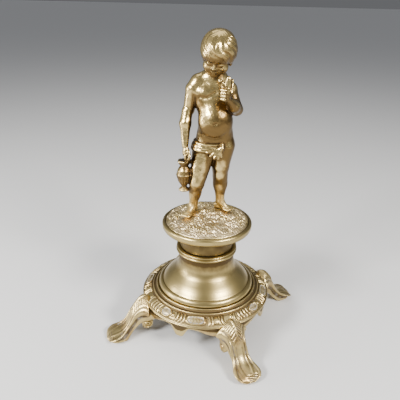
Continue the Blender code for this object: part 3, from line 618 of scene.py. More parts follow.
def left_arm():
    """The folded arm, its fist closed round the bird."""
    fingers = []
    for finger in range(FINGERS):
        z = 101.8 + 2.25 * finger
        bends = [(13.6, -20.2, z - 0.2), (10.6, -22.6, z), (8.2, -21.2, z + 0.2)]
        fingers.append(chain(0.4, bends, [1.25, 1.25, 1.1]))
    thumb = Limb((10.6, -17.0, 104.6), (8.8, -19.2, 108.4), 1.5, 1.2)
    hand = Melted(0.5, Lump((12.4, -18.0, 105.0), (3.4, 3.4, 4.8)), *fingers, thumb)
    arm = Melted(
        2.6,
        Lump(LEFT_SHOULDER, (5.8, 5.8, 5.8)),
        Limb(LEFT_SHOULDER, LEFT_ELBOW, 5.2, 4.9),
        chain(1.6, [LEFT_ELBOW, (18.4, -7.0, 94.0), LEFT_WRIST], [4.9, 4.9, 3.1]))
    return Melted(1.2, arm, hand)


def ewer():
    """A footed ewer with a lobed lip and a handle on the thigh's side."""
    profile = [
        (22.2, 4.4), (23.0, 4.7), (24.0, 3.8), (25.6, 2.2), (27.2, 2.9), (30.6, 5.0), (35.8, 6.5),
        (36.8, 6.4), (40.2, 5.6), (42.6, 4.2), (43.8, 3.4), (45.4, 4.4), (47.6, 5.6), (48.6, 5.4)]
    handle = [(-15.6, -3.4, 47.0), (-13.8, -2.8, 45.4), (-13.4, -2.8, 41.0), (-14.8, -3.2, 37.4)]

    def flutes(points):
        away = points[:, :2] - EWER_PLACE
        turn = np.arctan2(away[:, 1], away[:, 0])
        lower = smooth_step(points[:, 2], 27.0, 29.5) * (1.0 - smooth_step(points[:, 2], 34.6, 35.8))
        rim = np.exp(-((points[:, 2] - 36.4) / 0.45) ** 2)
        return 0.16 * lower * np.cos(14.0 * turn) + 0.3 * rim

    body = Embossed(Turned(*EWER_PLACE, profile, 5, 0.5), flutes)
    return Melted(0.6, body, chain(0.6, handle, [1.1, 1.0, 1.0, 1.0]))


def bird():
    """A small bird held upright, its beak to the chin and its wings and tail above the fist."""
    neck = chain(0.8, [(11.6, -19.0, 109.0), (9.4, -18.8, 112.6), (7.6, -18.6, 114.4)], [1.5, 1.2, 1.1])
    crown = Lump((7.2, -18.8, 114.8), (1.7, 1.7, 1.6))
    body = Melted(0.9, Lump((12.6, -19.4, 107.2), (2.4, 2.6, 4.0)), neck, crown)

    return Melted(
        0.4,
        body,
        Limb((6.4, -19.2, 115.2), (5.0, -18.8, 116.0), 0.8, 0.4),
        Lump((12.8, -19.6, 112.2), (2.3, 1.5, 6.4), turned_axes(0.0, 0.0, 5.0)),
        Limb((15.6, -17.6, 106.0), (16.0, -15.4, 114.6), 1.5, 1.3))


def cloth(body):
    knot = Lump((10.8, -9.0, 61.0), (1.8, 2.2, 3.2))
    hem = [
        (-1.0, -10.2, 57.2), (1.6, -10.9, 54.6), (4.5, -11.3, 52.8), (7.4, -11.2, 52.4), (10.2, -10.4, 53.8)]
    folds = [Limb((10.0, -10.2, 61.0), end, 1.0, 1.3) for end in hem]
    loose = Melted(1.7, knot, *folds)
    return Melted(1.1, Wrap(body, (0.0, 2.0, 61.0), 24.0), loose)


def body_form():
    trunk = Melted(2.5, torso(), right_leg(), left_leg())
    body = Melted(1.2, trunk, right_arm(), left_arm())
    return Melted(0.4, body, cloth(trunk), ewer(), bird())


# Skins over the forms

def settle(form, points, rounds):
    """Move points onto a form's surface along its slope."""
    probe = 0.04
    for _ in range(rounds):
        here = form.distance(points)
        slope = np.empty_like(points)
        for axis in range(3):
            moved = points.copy()
            moved[:, axis] += probe
            slope[:, axis] = (form.distance(moved) - here) / probe
        steepness = np.maximum((slope ** 2).sum(axis=1), 0.25)
        points = points - slope * np.clip(here, -1.2, 1.2)[:, None] / steepness[:, None]
    return points


def read_points(mesh, kind="co"):
    """Each point's place, or its normal."""
    values = np.empty(len(mesh.vertices) * 3)
    mesh.vertices.foreach_get(kind, values)
    return values.reshape(-1, 3)


def write_points(mesh, places):
    mesh.vertices.foreach_set("co", np.ascontiguousarray(places, dtype=np.float32).ravel())
    mesh.update()


def reskinned(mesh, step):
    """One closed skin over everything in a mesh, by voxels."""
    item = linked("skin", mesh)
    remesh = item.modifiers.new("Skin", 'REMESH')
    remesh.mode = 'VOXEL'
    remesh.voxel_size = step
    graph = bpy.context.evaluated_depsgraph_get()
    graph.update()
    result = bpy.data.meshes.new_from_object(item.evaluated_get(graph))
    bpy.data.objects.remove(item, do_unlink=True)
    return result


def skin_over(form, name, step):
    """Draw a fine skin over a form: rough blanks, a first skin, then a finer one."""
    blank = bmesh.new()
    form.add_blank(blank)
    mesh = finished(blank, name)
    for size, rounds in ((max(step, 0.9), 4), (step, 4)):
        mesh = reskinned(mesh, size)
        write_points(mesh, settle(form, read_points(mesh), rounds))
    mesh.name = name
    return mesh


def store(mesh, name, values):
    """Keep a number for each point of a mesh, for its finish to read."""
    layer = mesh.attributes.new(name, 'FLOAT', 'POINT')
    layer.data.foreach_set("value", np.ascontiguousarray(values, dtype=np.float32))


def mark_hollows(mesh, rounds, depth):
    """Store how far each point lies below its surroundings: 0.5 is level, 1 a deep hollow."""
    count = len(mesh.vertices)
    places = read_points(mesh)
    pairs = np.empty(len(mesh.edges) * 2, dtype=np.int32)
    mesh.edges.foreach_get("vertices", pairs)
    ends = np.concatenate((pairs.reshape(-1, 2), pairs.reshape(-1, 2)[:, ::-1]))
    degree = np.maximum(np.bincount(ends[:, 0], minlength=count), 1)
    level = places.copy()
    for _ in range(rounds):
        around = [
            np.bincount(ends[:, 0], weights=level[ends[:, 1], axis], minlength=count) for axis in range(3)]
        level = 0.4 * level + 0.6 * np.stack(around, axis=1) / degree[:, None]
    below = ((level - places) * read_points(mesh, "normal")).sum(axis=1)
    store(mesh, "hollow", np.clip(0.5 + 0.5 * below / depth, 0.0, 1.0))


def mark_painted_shade(mesh, form):
    """Store how much painted shade each point gets: shut in, turned to the ground, on his left side and on
    the belly, and how low.
    """
    places = read_points(mesh)
    normals = read_points(mesh, "normal")
    # Painted shade where the form around shuts the skin in
    shut = np.zeros(len(places))
    for reach in (1.5, 3.5, 7.0):
        shut += np.clip(1.0 - form.distance(places + normals * reach) / reach, 0.0, 1.0) / 3.0
    # Painted shade on faces turned to the ground
    under = 0.50 * smooth_step(-normals[:, 2], -0.25, 0.5)
    # The painted shade fades toward the feet
    shade_fade_to_feet = 0.4 + 0.6 * smooth_step(places[:, 2], 6.0, 24.0)
    # Painted shade over the belly
    belly = 0.34 * smooth_step(-np.hypot(places[:, 0] - 6.0, places[:, 2] - 78.0), -17.0, -6.0)
    belly = belly * smooth_step(-places[:, 1], 2.0, 6.0) * smooth_step(-places[:, 0], -19.0, -16.0)
    below_head = 1.0 - smooth_step(places[:, 2], 100.0, 118.0)
    # Painted shade on faces turned to his left side, below the head
    left_side = 0.40 * smooth_step(normals[:, 0], -0.1, 0.9) * below_head
    store(mesh, "painted_shade", np.clip(shade_fade_to_feet * (1.2 * shut + under + left_side + belly), 0.0, 1.0))
    store(mesh, "low", 1.0 - smooth_step(places[:, 2], 24.0, 42.0))


def add_piece(name, mesh, material, node):
    """Link a finished mesh, ride it on the figurine and let it stand for a CAD node."""
    mesh.shade_smooth()
    mesh.materials.clear()
    mesh.materials.append(material)
    item = linked(name, mesh)
    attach(item, "root")
    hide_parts(node)


def cast_figure(sizes, name, form, surroundings, step, hollow_depth, material):
    """Draw a skin over a form in figure units, mark its hollows and its painted shade for its finish, and
    stand it on the mound.
    """
    unit = sizes.boy_height / FIGURE_UNITS
    mesh = skin_over(form, name, step / unit)
    mark_hollows(mesh, rounds=24, depth=hollow_depth)
    mark_painted_shade(mesh, surroundings)
    write_points(mesh, read_points(mesh) * unit + np.array((0.0, 0.0, sizes.ground_height)))
    add_piece(name, mesh, material, "boy_and_mound")


# Mound

MOUND_RINGS = 105
MOUND_STEPS = 640

# Where the feet press the grass down: heel, ball and toes of each
TRODDEN = [
    (-0.0118, 0.0020), (-0.0160, -0.0050), (-0.0190, -0.0115),
    (0.0085, 0.0108), (0.0140, 0.0072), (0.0192, 0.0040)]


def mound_height(x, y, sizes):
    """Height of the ground above the table at a place, with its grass and rock."""
    away = math.hypot(x, y) / sizes.mound_radius
    inward = max(0.0, 1.0 - away)
    foot = 0.20
    rise = foot + (1.0 - foot) * (1.0 - (1.0 - inward) ** 2) ** 0.8
    height = sizes.ground_height - sizes.mound_height * (1.0 - rise)
    place = Vector((x, y, 0.0)) / MM
    warp = Vector((noise.noise(place * 0.20), noise.noise(place * 0.20 + Vector((9.0, 4.0, 1.0))), 0.0))
    clumps = 1.0 - 2.2 * abs(noise.noise(place * 0.30 + 0.9 * warp))
    tufts = 1.0 - 2.4 * abs(noise.noise(Vector((place.x * 0.55 + 0.3 * place.y, place.y * 0.36, 3.0)) + warp))
    blades = noise.noise(Vector((place.x * 1.1 + 0.6 * place.y, place.y * 0.6, 8.0)) + 2.0 * warp)
    rock = abs(noise.noise(place * 0.14 + Vector((1.0, 5.0, 2.0)) + 0.5 * warp)) * 1.6
    front = smooth_bump(x, y, 0.006, -0.021, 0.0150)
    rough = 0.40 * clumps * clumps * clumps + 0.55 * tufts - 0.35 + 0.22 * blades
    under_feet = 1.0 - 0.85 * max(smooth_bump(x, y, *place, 0.0100) for place in TRODDEN)
    mixed = rough * (1.0 - 0.75 * front) + (0.5 - rock) * 0.9 * front
    heap = 0.0016 * smooth_bump(x, y, 0.0030, 0.0150, 0.0090)
    edge = min(1.0, 14.0 * inward)
    return height + sizes.grass_height * edge * (mixed * under_feet - 0.10) + heap


def smooth_bump(x, y, middle_x, middle_y, radius):
    """1 at a place, falling smoothly to 0 at a radius."""
    share = min(1.0, math.hypot(x - middle_x, y - middle_y) / radius)
    return (1.0 - share * share) ** 2


def mound_mesh(sizes):
    """Spin a radius of points into a disc, lift its top and close it under."""
    shape = bmesh.new()
    radius = sizes.mound_radius
    foot = sizes.ground_height - sizes.mound_height
    outline = [(radius * ring / MOUND_RINGS, 0.0, foot + 0.001) for ring in range(MOUND_RINGS + 1)]
    points = [shape.verts.new(place) for place in outline + [(radius, 0.0, foot), (0.0, 0.0, foot)]]
    edges = [shape.edges.new(pair) for pair in zip(points, points[1:])]
    spin_round(shape, points + edges, MOUND_STEPS)
    bmesh.ops.remove_doubles(shape, verts=shape.verts, dist=0.00002)
    outward(shape)
    for point in shape.verts:
        if point.co.z > foot + 0.0005:
            point.co.z = mound_height(point.co.x, point.co.y, sizes)
    return finished(shape, "mound")


# Turned pieces

PLATE_STEPS = 256
BELL_STEPS = 320

def rounded_profile(corners, rounds):
    """Round a turned outline's corners with short arcs, one radius for each corner."""
    points = [corners[0]]
    for before, corner, after, size in zip(corners, corners[1:], corners[2:], rounds):
        before, corner, after = Vector(before), Vector(corner), Vector(after)
        back = before - corner
        ahead = after - corner
        reach = min(size, 0.49 * back.length, 0.49 * ahead.length)
        start = corner + back.normalized() * reach
        end = corner + ahead.normalized() * reach
        for step in range(5):
            share = step / 4.0
            near = start.lerp(corner, share)
            far = corner.lerp(end, share)
            points.append(tuple(near.lerp(far, share)))
    points.append(corners[-1])
    return points


def spun_mesh(name, profile, steps, closed):
    """Spin a (radius, height) profile round the upright axis."""
    shape = bmesh.new()
    points = [shape.verts.new((radius, 0.0, height)) for radius, height in profile]
    edges = [shape.edges.new(pair) for pair in zip(points, points[1:])]
    if closed:
        edges.append(shape.edges.new((points[-1], points[0])))
    spin_round(shape, points + edges, steps)
    bmesh.ops.remove_doubles(shape, verts=shape.verts, dist=0.000005)
    outward(shape)
    return finished(shape, name)


def mark_painted_shade_beneath(mesh, inner, outer, under, depth):
    """Store how much painted shade a turned piece gets: most beneath a rim or a bead, close to the axis."""
    places = read_points(mesh)
    away = np.hypot(places[:, 0], places[:, 1])
    close = 1.0 - smooth_step(away, inner, outer)
    below = smooth_step(places[:, 2], under - depth, under - 0.1 * depth)
    below = below * (1.0 - smooth_step(places[:, 2], under, under + 0.0004))
    store(mesh, "painted_shade", close * below)


def plate_outline(sizes, mound_radius):
    """A flat well for the mound, a rounded rim and a hollow neck."""
    edge = sizes.plate_radius
    neck = sizes.plate_neck_radius
    wall = 0.0025
    top = PLATE_HIGH.z
    foot = PLATE_LOW.z
    band = 0.0074
    floor = top - 0.0021
    lip = mound_radius + 0.0004
    rim_foot = top - band
    corners = [
        (0.0, floor), (lip, floor), (lip + 0.0002, top), (lip + 0.0014, top - 0.0001),
        (edge - 0.0004, top - 0.13 * band), (edge, top - 0.24 * band), (edge - 0.0001, top - 0.62 * band),
        (edge - 0.0010, top - 0.86 * band), (edge - 0.0040, rim_foot), (neck + 0.0012, rim_foot + 0.0002),
        (neck, rim_foot - 0.0014), (neck, foot), (neck - wall, foot), (neck - wall, floor - wall),
        (0.0, floor - wall)]
    rounds = [
        0.0003, 0.0005, 0.0006, 0.0006, 0.0007, 0.0012, 0.0008, 0.0012, 0.0005, 0.0012, 0.0004, 0.0004,
        0.0006]
    return rounded_profile(corners, rounds)


def bell_outline(sizes):
    """Collar beads, a flared neck, a dome, a crease and a rounded foot band, with a thin wall."""
    foot = BELL_LOW.z
    top = BELL_HIGH.z
    tall = top - foot
    neck = sizes.bell_neck_radius
    flare = sizes.bell_foot_radius - neck
    wall = 0.0010
    collar = [
        (neck - 0.0027, top), (neck + 0.0015, top), (neck + 0.0022, top - 0.022 * tall),
        (neck + 0.0007, top - 0.052 * tall), (neck + 0.0025, top - 0.078 * tall),
        (neck + 0.0021, top - 0.118 * tall), (neck, top - 0.135 * tall)]
    body = [
        (0.00, 0.66), (0.04, 0.55), (0.14, 0.455), (0.32, 0.376), (0.50, 0.302), (0.66, 0.222),
        (0.785, 0.142), (0.808, 0.154), (0.90, 0.134), (0.97, 0.084), (1.0, 0.0)]
    outer = collar + [(neck + share * flare, foot + rise * tall) for share, rise in body]
    rounds = [
        0.0006, 0.0008, 0.0003, 0.0009, 0.0008, 0.0003, 0.0040, 0.0050, 0.0060, 0.0060, 0.0060, 0.0060,
        0.0004, 0.0010, 0.0034, 0.0034]
    skin = rounded_profile(outer, rounds)
    lining = [(outer[-1][0] - wall, foot)]
    # The wall follows the outside from its foot band up to its neck, past the crease at 14
    for index in (16, 15, 13, 12, 11, 10, 9, 8, 7):
        lining.append((outer[index][0] - wall, outer[index][1] - 0.6 * wall))
    lining.append((neck - wall, top - wall))
    lining.append((outer[0][0], top - wall))
    return skin + lining


# Footed ring

def skirt_edge(angle, sizes):
    """Height of the skirt's lower edge: a pendant midway between legs, arches beside it."""
    quarter = 2.0 * math.pi / sizes.leg_count
    from_pendant = np.abs((angle - sizes.leg_start) % quarter - quarter / 2.0)
    arch = 0.667 * RING_TOP
    rise = smooth_step(from_pendant, math.radians(1.8), math.radians(9.5))
    fall = smooth_step(from_pendant, math.radians(12.0), math.radians(34.0))
    return arch - sizes.pendant_drop * (1.0 - rise) - 0.155 * RING_TOP * fall


def soft_ridge(distance, width):
    """A rounded ridge along a line."""
    return np.clip(1.0 - (np.asarray(distance, float) / width) ** 2, 0.0, 1.0)


def frieze_motifs(turn, across):
    """The frieze at places: turn in degrees from a leg, across from 0 at the top to 1.

    Gives the height of the carving and how much pale residue lies on it.
    """
    middle = across - 0.5
    curve = 1.0 - 4.0 * middle ** 2
    height = np.full(turn.shape, -0.40)
    for centre, lean in RIBS:
        rib = soft_ridge(turn - centre - lean * curve, 1.15) ** 0.8 * smooth_step(curve, 0.0, 0.45)
        height = np.maximum(height, 1.25 * rib - 0.40)
    oval = np.hypot((turn - OVAL_TURN) / 6.0, middle / 0.45)
    framed = (np.abs((turn - FRAMED_TURN) / 9.4) ** 3.0 + np.abs(middle / 0.46) ** 3.0) ** (1.0 / 3.0)
    for shape in (oval, framed):
        height = np.where(shape < 1.0, 1.05 * soft_ridge(shape - 0.86, 0.13) - 0.30, height)
    height = np.where(oval < 0.74, 0.55 * (1.0 - (oval / 0.74) ** 2) - 0.20, height)
    scrolls = 0.35 * np.cos((turn - FRAMED_TURN) * 1.15) ** 2 * np.cos(9.0 * middle) ** 2
    height = np.where(framed < 0.74, scrolls - 0.25, height)
    palm = np.hypot((turn - PALM_TURN) / 2.9, (middle + 0.06) / 0.40)
    rays = 0.22 * np.cos(7.0 * np.arctan2(turn - PALM_TURN, 2.6 * (middle + 0.4)))
    height = np.where(palm < 1.0, np.maximum(height, 1.0 - palm ** 2 + rays * palm), height)
    for centre, raised, half_wide, half_tall, lift in KNOBS:
        knob = np.hypot((turn - centre) / half_wide, (middle + raised) / half_tall)
        height = np.maximum(height, np.where(knob < 1.0, lift * (1.0 - knob ** 2) - 0.3, -1.0))
    residue = 0.25 + 0.75 * np.maximum(oval < 0.72, 0.85 * (framed < 0.74))
    fade = smooth_step(across, 0.02, 0.12) * (1.0 - smooth_step(across, 0.88, 0.98))
    return fade * height, fade * residue


# Frieze between one leg and the next, in degrees from the leg: ribs as (place, lean)
RIBS = (
    (7.0, -1.6), (11.6, -0.9), (15.0, -0.9), (18.4, -0.9), (21.6, -0.9), (41.4, 0.9), (44.6, 0.9),
    (47.8, 0.9), (71.4, 0.8), (74.2, 0.8), (81.6, -0.8), (84.4, -0.8))
# Knobs as (place, how far above the middle, half width, half height, lift)
KNOBS = ((3.2, 0.15, 2.0, 0.27, 1.3), (37.4, 0.0, 1.5, 0.20, 1.2))
OVAL_TURN = 29.6
FRAMED_TURN = 59.6
PALM_TURN = 78.0
FRIEZE_ROWS = 26
RING_STEPS = 1200


def ring_section(sizes):
    """The ring's section as (radius, height, place down the frieze or -1, share that follows the edge)."""
    skirt = sizes.skirt_radius
    top = RING_TOP
    seat = sizes.bell_foot_radius + 0.0003
    seat_height = top - 0.0019
    border = skirt + 0.0015
    brim = top - 0.0112
    ledge = (seat + 0.0042, top - 0.0027)
    frieze_top = (ledge[0] + 0.0012, ledge[1] - 0.0010)
    frieze_foot = (border - 0.0008, top - 0.0079)

    def plain(radius, height, follow=0.0):
        rows.append((radius, height, -1.0, follow))

    rows = []
    plain(seat - 0.0030, seat_height)
    plain(seat, seat_height)
    beads = (
        (seat + 0.0009, top - 0.0009, 0.0009, 180.0, -6.0, 9),
        (ledge[0], ledge[1] - 0.0002, 0.0008, 150.0, -24.0, 7))
    for bead_radius, bead_height, size, first, last, steps in beads:
        for step in range(steps):
            turn = math.radians(first + (last - first) * step / (steps - 1))
            plain(bead_radius + size * math.cos(turn), bead_height + size * math.sin(turn))
    for step in range(1, FRIEZE_ROWS + 1):
        share = step / FRIEZE_ROWS
        swell = 0.0008 * math.sin(math.pi * share)
        rows.append((
            frieze_top[0] + share * (frieze_foot[0] - frieze_top[0]) + 0.45 * swell,
            frieze_top[1] + share * (frieze_foot[1] - frieze_top[1]) + 0.9 * swell, share, 0.0))
    lower_beads = ((border - 0.0006, top - 0.0086, 0.0006), (border - 0.0007, top - 0.0101, 0.0005))
    for bead_radius, bead_height, size in lower_beads:
        for step in range(6):
            turn = math.radians(80.0 - 34.0 * step)
            plain(bead_radius + size * math.cos(turn), bead_height + size * math.sin(turn))
    for step in range(1, 7):
        share = step / 6.0
        plain(skirt - 0.0001 - 0.0004 * share, brim, 0.93 * share)
    plain(skirt - 0.0007, brim, 0.98)
    plain(skirt - 0.0012, brim, 1.0)
    wall = sizes.ring_wall
    plain(skirt - wall + 0.0003, brim, 1.0)
    plain(skirt - wall, brim, 0.97)
    plain(skirt - wall, brim)
    plain(seat - 0.0030 + 0.4 * wall, seat_height - wall)
    return rows


def ring_mesh(sizes):
    """Spin the ring's section, then carve the frieze and cut the skirt's edge to its scallops."""
    rows = ring_section(sizes)
    shape = bmesh.new()
    level = shape.verts.layers.int.new("row")
    points = [shape.verts.new((radius, 0.0, height)) for radius, height, share, follow in rows]
    for index, point in enumerate(points):
        point[level] = index
    edges = [shape.edges.new(pair) for pair in zip(points, points[1:] + points[:1])]
    spin_round(shape, points + edges, RING_STEPS)
    outward(shape)
    shape.verts.index_update()
    order = np.array([point[level] for point in shape.verts])
    mesh = finished(shape, "ring")
    table = np.array(rows)[order]
    places = read_points(mesh)
    angle = np.arctan2(places[:, 1], places[:, 0])
    quarter = 360.0 / sizes.leg_count
    turn = np.degrees(angle - sizes.leg_start) % quarter * 90.0 / quarter
    radius, height, share, follow = table.T
    height = height + follow * (skirt_edge(angle, sizes) - height)
    lift, residue = frieze_motifs(turn, np.maximum(share, 0.0))
    lift = np.where(share >= 0.0, sizes.relief * lift, 0.0)
    grown = radius + 0.45 * lift
    write_points(mesh, np.stack((grown * np.cos(angle), grown * np.sin(angle), height + 0.9 * lift), axis=1))
    store(mesh, "pale", np.where(share >= 0.0, residue, 0.0))
    return mesh


def eased(values, place):
    """Read a list of values at a place from 0 to its last index, on a smooth curve."""
    last = len(values) - 1
    index = min(int(place), last - 1)
    share = place - index
    a, b = values[index], values[index + 1]
    before = values[max(index - 1, 0)]
    after = values[min(index + 2, last)]
    return 0.5 * (
        2.0 * a + (b - before) * share + (2.0 * before - 5.0 * a + 4.0 * b - after) * share ** 2
        + (3.0 * a - before - 3.0 * b + after) * share ** 3)


def leg_guides(sizes):
    """Along a leg: top and under points, brim and foot half widths, brim depth and crown."""
    knee = sizes.knee_half_width
    toe = sizes.toe_half_width
    near = sizes.skirt_radius
    out = sizes.leg_reach - near
    tall = RING_TOP
    flank = 0.62 * knee
    stations = [
        (-0.11, 0.84, -0.15, 0.36, 0.10 * knee, flank, 0.10, 0.0008),
        (-0.02, 0.90, -0.02, 0.34, 0.68 * knee, flank, 0.34, 0.0006),
        (0.06, 0.91, 0.05, 0.34, knee, flank, 0.50, 0.0006),
        (0.14, 0.88, 0.11, 0.35, 0.82 * knee, flank, 0.48, 0.0006),
        (0.25, 0.79, 0.17, 0.35, 0.66 * knee, 0.94 * flank, 0.42, 0.0004),
        (0.37, 0.64, 0.23, 0.31, 0.56 * knee, 0.84 * flank, 0.32, 0.0),
        (0.45, 0.47, 0.30, 0.25, 0.54 * knee, 0.76 * flank, 0.22, -0.0006),
        (0.54, 0.33, 0.39, 0.15, 0.68 * toe, 0.52 * toe, 0.16, -0.0012),
        (0.65, 0.25, 0.49, 0.05, 0.82 * toe, 0.62 * toe, 0.16, -0.0014),
        (0.76, 0.21, 0.56, 0.0, 0.96 * toe, 0.74 * toe, 0.16, -0.0014),
        (0.86, 0.17, 0.72, 0.0, toe, 0.76 * toe, 0.16, -0.0010),
        (0.95, 0.12, 0.86, 0.0, 0.82 * toe, 0.62 * toe, 0.20, -0.0004),
        (1.0, 0.06, 0.93, 0.0, 0.36 * toe, 0.30 * toe, 0.30, 0.0)]
    return [
        (near + top_out * out, top_up * tall, near + under_out * out, under_up * tall, *rest)
        for top_out, top_up, under_out, under_up, *rest in stations]


def drawn_tube(shape, sections):
    """Draw a tube through rings of points, each ring extruded from the one before, and close it."""
    made = bmesh.ops.create_circle(shape, cap_ends=False, segments=len(sections[0]), radius=0.001)
    ring = list(made["verts"])
    edges = list({edge for point in ring for edge in point.link_edges})
    for point, place in zip(ring, sections[0]):
        point.co = place
    ends = list(edges)
    for section in sections[1:]:
        grown = bmesh.ops.extrude_edge_only(shape, edges=edges)
        fresh = {item for item in grown["geom"] if isinstance(item, bmesh.types.BMVert)}
        following = []
        for point in ring:
            following.append(next(
                edge.other_vert(point) for edge in point.link_edges if edge.other_vert(point) in fresh))
        ring = following
        edges = [item for item in grown["geom"] if isinstance(item, bmesh.types.BMEdge)
                 and item.verts[0] in fresh and item.verts[1] in fresh]
        for point, place in zip(ring, section):
            point.co = place
    bmesh.ops.holes_fill(shape, edges=ends + edges, sides=0)


# Round a leg's section: samples of the upper face, of each flank and of the underside
LEG_STATIONS = 150
FACE_SAMPLES = 44
FLANK_SAMPLES = 12
UNDER_SAMPLES = 6


def leg_carving(place, side):
    """Height of the carving on a leg's upper face: leaf, hatching, rims and a hatched toe."""
    edge = np.abs(side)
    leaf = 1.0 - smooth_step(place, 4.6, 5.6)
    channel = smooth_step(place, 4.6, 5.8)
    brim = 1.10 * soft_ridge(edge - 0.88, 0.15) * smooth_step(place, 0.2, 0.7)
    second = 0.50 * soft_ridge(edge - 0.64, 0.10) * leaf * smooth_step(place, 0.8, 1.4)
    spine = 0.70 * soft_ridge(edge, 0.10) * (1.0 - smooth_step(place, 5.2, 6.0))
    inside = (1.0 - smooth_step(edge, 0.50, 0.58)) * smooth_step(edge, 0.06, 0.14)
    hatch = 0.42 * np.cos(15.0 * place - 13.0 * edge) * inside * smooth_step(place, 0.9, 1.3) * leaf
    inner = 0.70 * soft_ridge(edge - 0.50 + 0.18 * smooth_step(place, 8.0, 10.6), 0.12)
    inner = inner * channel * (1.0 - smooth_step(place, 10.2, 11.0))
    drop = 0.50 * soft_ridge(edge, 0.30) * smooth_step(place, 6.4, 7.4) * (1.0 - smooth_step(place, 8.6, 9.8))
    toe = 0.42 * np.cos(13.0 * (place - 0.8 * side)) * smooth_step(place, 10.0, 10.4)
    toe = toe * (1.0 - smooth_step(edge, 0.72, 0.84)) * smooth_step(side, -0.30, 0.0)
    return 0.001 * (brim + second + spine + hatch + inner + drop + toe)


def flank_points(brim, foot, edge):
    """Points down a leg's flank, evenly spaced along its curve, as places across and depths."""
    bends = np.array([
        (brim, edge), (0.97 * brim, edge + 0.06), (0.70 * brim + 0.22 * foot, edge + 0.12),
        (0.90 * foot + 0.02 * brim, 0.62), (foot, 0.86), (0.94 * foot, 0.97), (0.80 * foot, 1.0)])
    along = np.linspace(0.0, len(bends) - 1.0, 40)
    curve = np.array([[eased(list(bends[:, axis]), step) for axis in range(2)] for step in along])
    run = np.concatenate(([0.0], np.cumsum(np.hypot(*np.diff(curve, axis=0).T))))
    spots = np.linspace(0.0, 1.0, FLANK_SAMPLES + 2)[1:-1] * run[-1]
    return [np.interp(spots, run, part) for part in curve.T]


def leg_section(guide, place, sizes):
    """One ring of points round a leg."""
    top_out, top_up, under_out, under_up, brim, foot, edge, crown = guide
    top = np.array((top_out, 0.0, top_up))
    down = np.array((under_out, 0.0, max(0.0, under_up))) - top
    drift = sizes.toe_drift * float(smooth_step(top_out, sizes.skirt_radius, sizes.leg_reach))
    side = np.linspace(-1.0, 1.0, FACE_SAMPLES)
    face_depth = edge * np.abs(side) ** 1.6
    flat = 1.0 - side ** 2
    rise = crown * flat + leg_carving(place, side)
    flank_across, flank_depth = flank_points(brim, foot, edge)
    bottom = np.linspace(0.80 * foot, -0.80 * foot, UNDER_SAMPLES)
    across = np.concatenate((side * brim, flank_across, bottom, -flank_across[::-1]))
    depth = np.concatenate((face_depth, flank_depth, np.ones(UNDER_SAMPLES), flank_depth[::-1]))
    extra = np.zeros(len(across))
    extra[:FACE_SAMPLES] = rise
    lift_way = np.array((-down[2], 0.0, down[0]))
    lift_way = lift_way / max(np.linalg.norm(lift_way), 1e-9)
    lift_way = lift_way * (1.0 if lift_way[2] >= 0.0 or lift_way[0] > 0.0 else -1.0)
    points = top + depth[:, None] * down + extra[:, None] * (lift_way * 0.6 + np.array((0.0, 0.0, 0.7)))
    points[:, 1] = across + drift
    points[:, 2] = np.maximum(points[:, 2], 0.0)
    return points


def leg_mesh(sizes):
    """Draw a ring of points out along a leg, from inside the skirt to the toe."""
    guides = leg_guides(sizes)
    columns = [list(column) for column in zip(*guides)]
    sections = []
    for station in range(LEG_STATIONS):
        place = (len(guides) - 1) * station / (LEG_STATIONS - 1)
        sections.append(leg_section([eased(column, place) for column in columns], place, sizes))
    shape = bmesh.new()
    drawn_tube(shape, sections)
    outward(shape)
    mesh = finished(shape, "leg")
    store(mesh, "pale", np.full(len(mesh.vertices), 0.35))
    return mesh


def scroll_mesh(sizes):
    """A band rolled into a scroll under the knee, round a plain core."""
    steps = 72
    corners = np.linspace(0.0, 2.0 * math.pi, 20, endpoint=False) + 0.15
    wide = np.sign(np.sin(corners)) * np.abs(np.sin(corners)) ** 0.4
    out = np.sign(np.cos(corners)) * np.abs(np.cos(corners)) ** 0.8
    half = 0.575 * sizes.knee_half_width
    middle = np.array((sizes.skirt_radius + 0.0018, 0.0, 0.285 * RING_TOP))
    sections = []
    for station in range(steps):
        share = station / (steps - 1)
        turn = math.radians(140.0 + 600.0 * share)
        away = np.array((math.cos(turn), 0.0, math.sin(turn)))
        thick = 0.0012 * (1.0 - 0.35 * share)
        spot = middle + away * (sizes.scroll_radius * (1.0 - 0.82 * share) - thick)
        ring = spot + out[:, None] * away * thick
        ring[:, 1] = half * (1.0 + 0.14 * share) * wide
        sections.append(ring)
    shape = bmesh.new()
    drawn_tube(shape, sections)
    core = Matrix.Translation(middle) @ Matrix.Rotation(math.pi / 2.0, 4, 'X')
    bmesh.ops.create_cone(
        shape, cap_ends=True, segments=40, radius1=0.86 * sizes.scroll_radius,
        radius2=0.86 * sizes.scroll_radius, depth=1.86 * half, matrix=core)
    outward(shape)
    mesh = finished(shape, "scroll")
    store(mesh, "pale", np.full(len(mesh.vertices), 0.45))
    return mesh


# Shader expressions

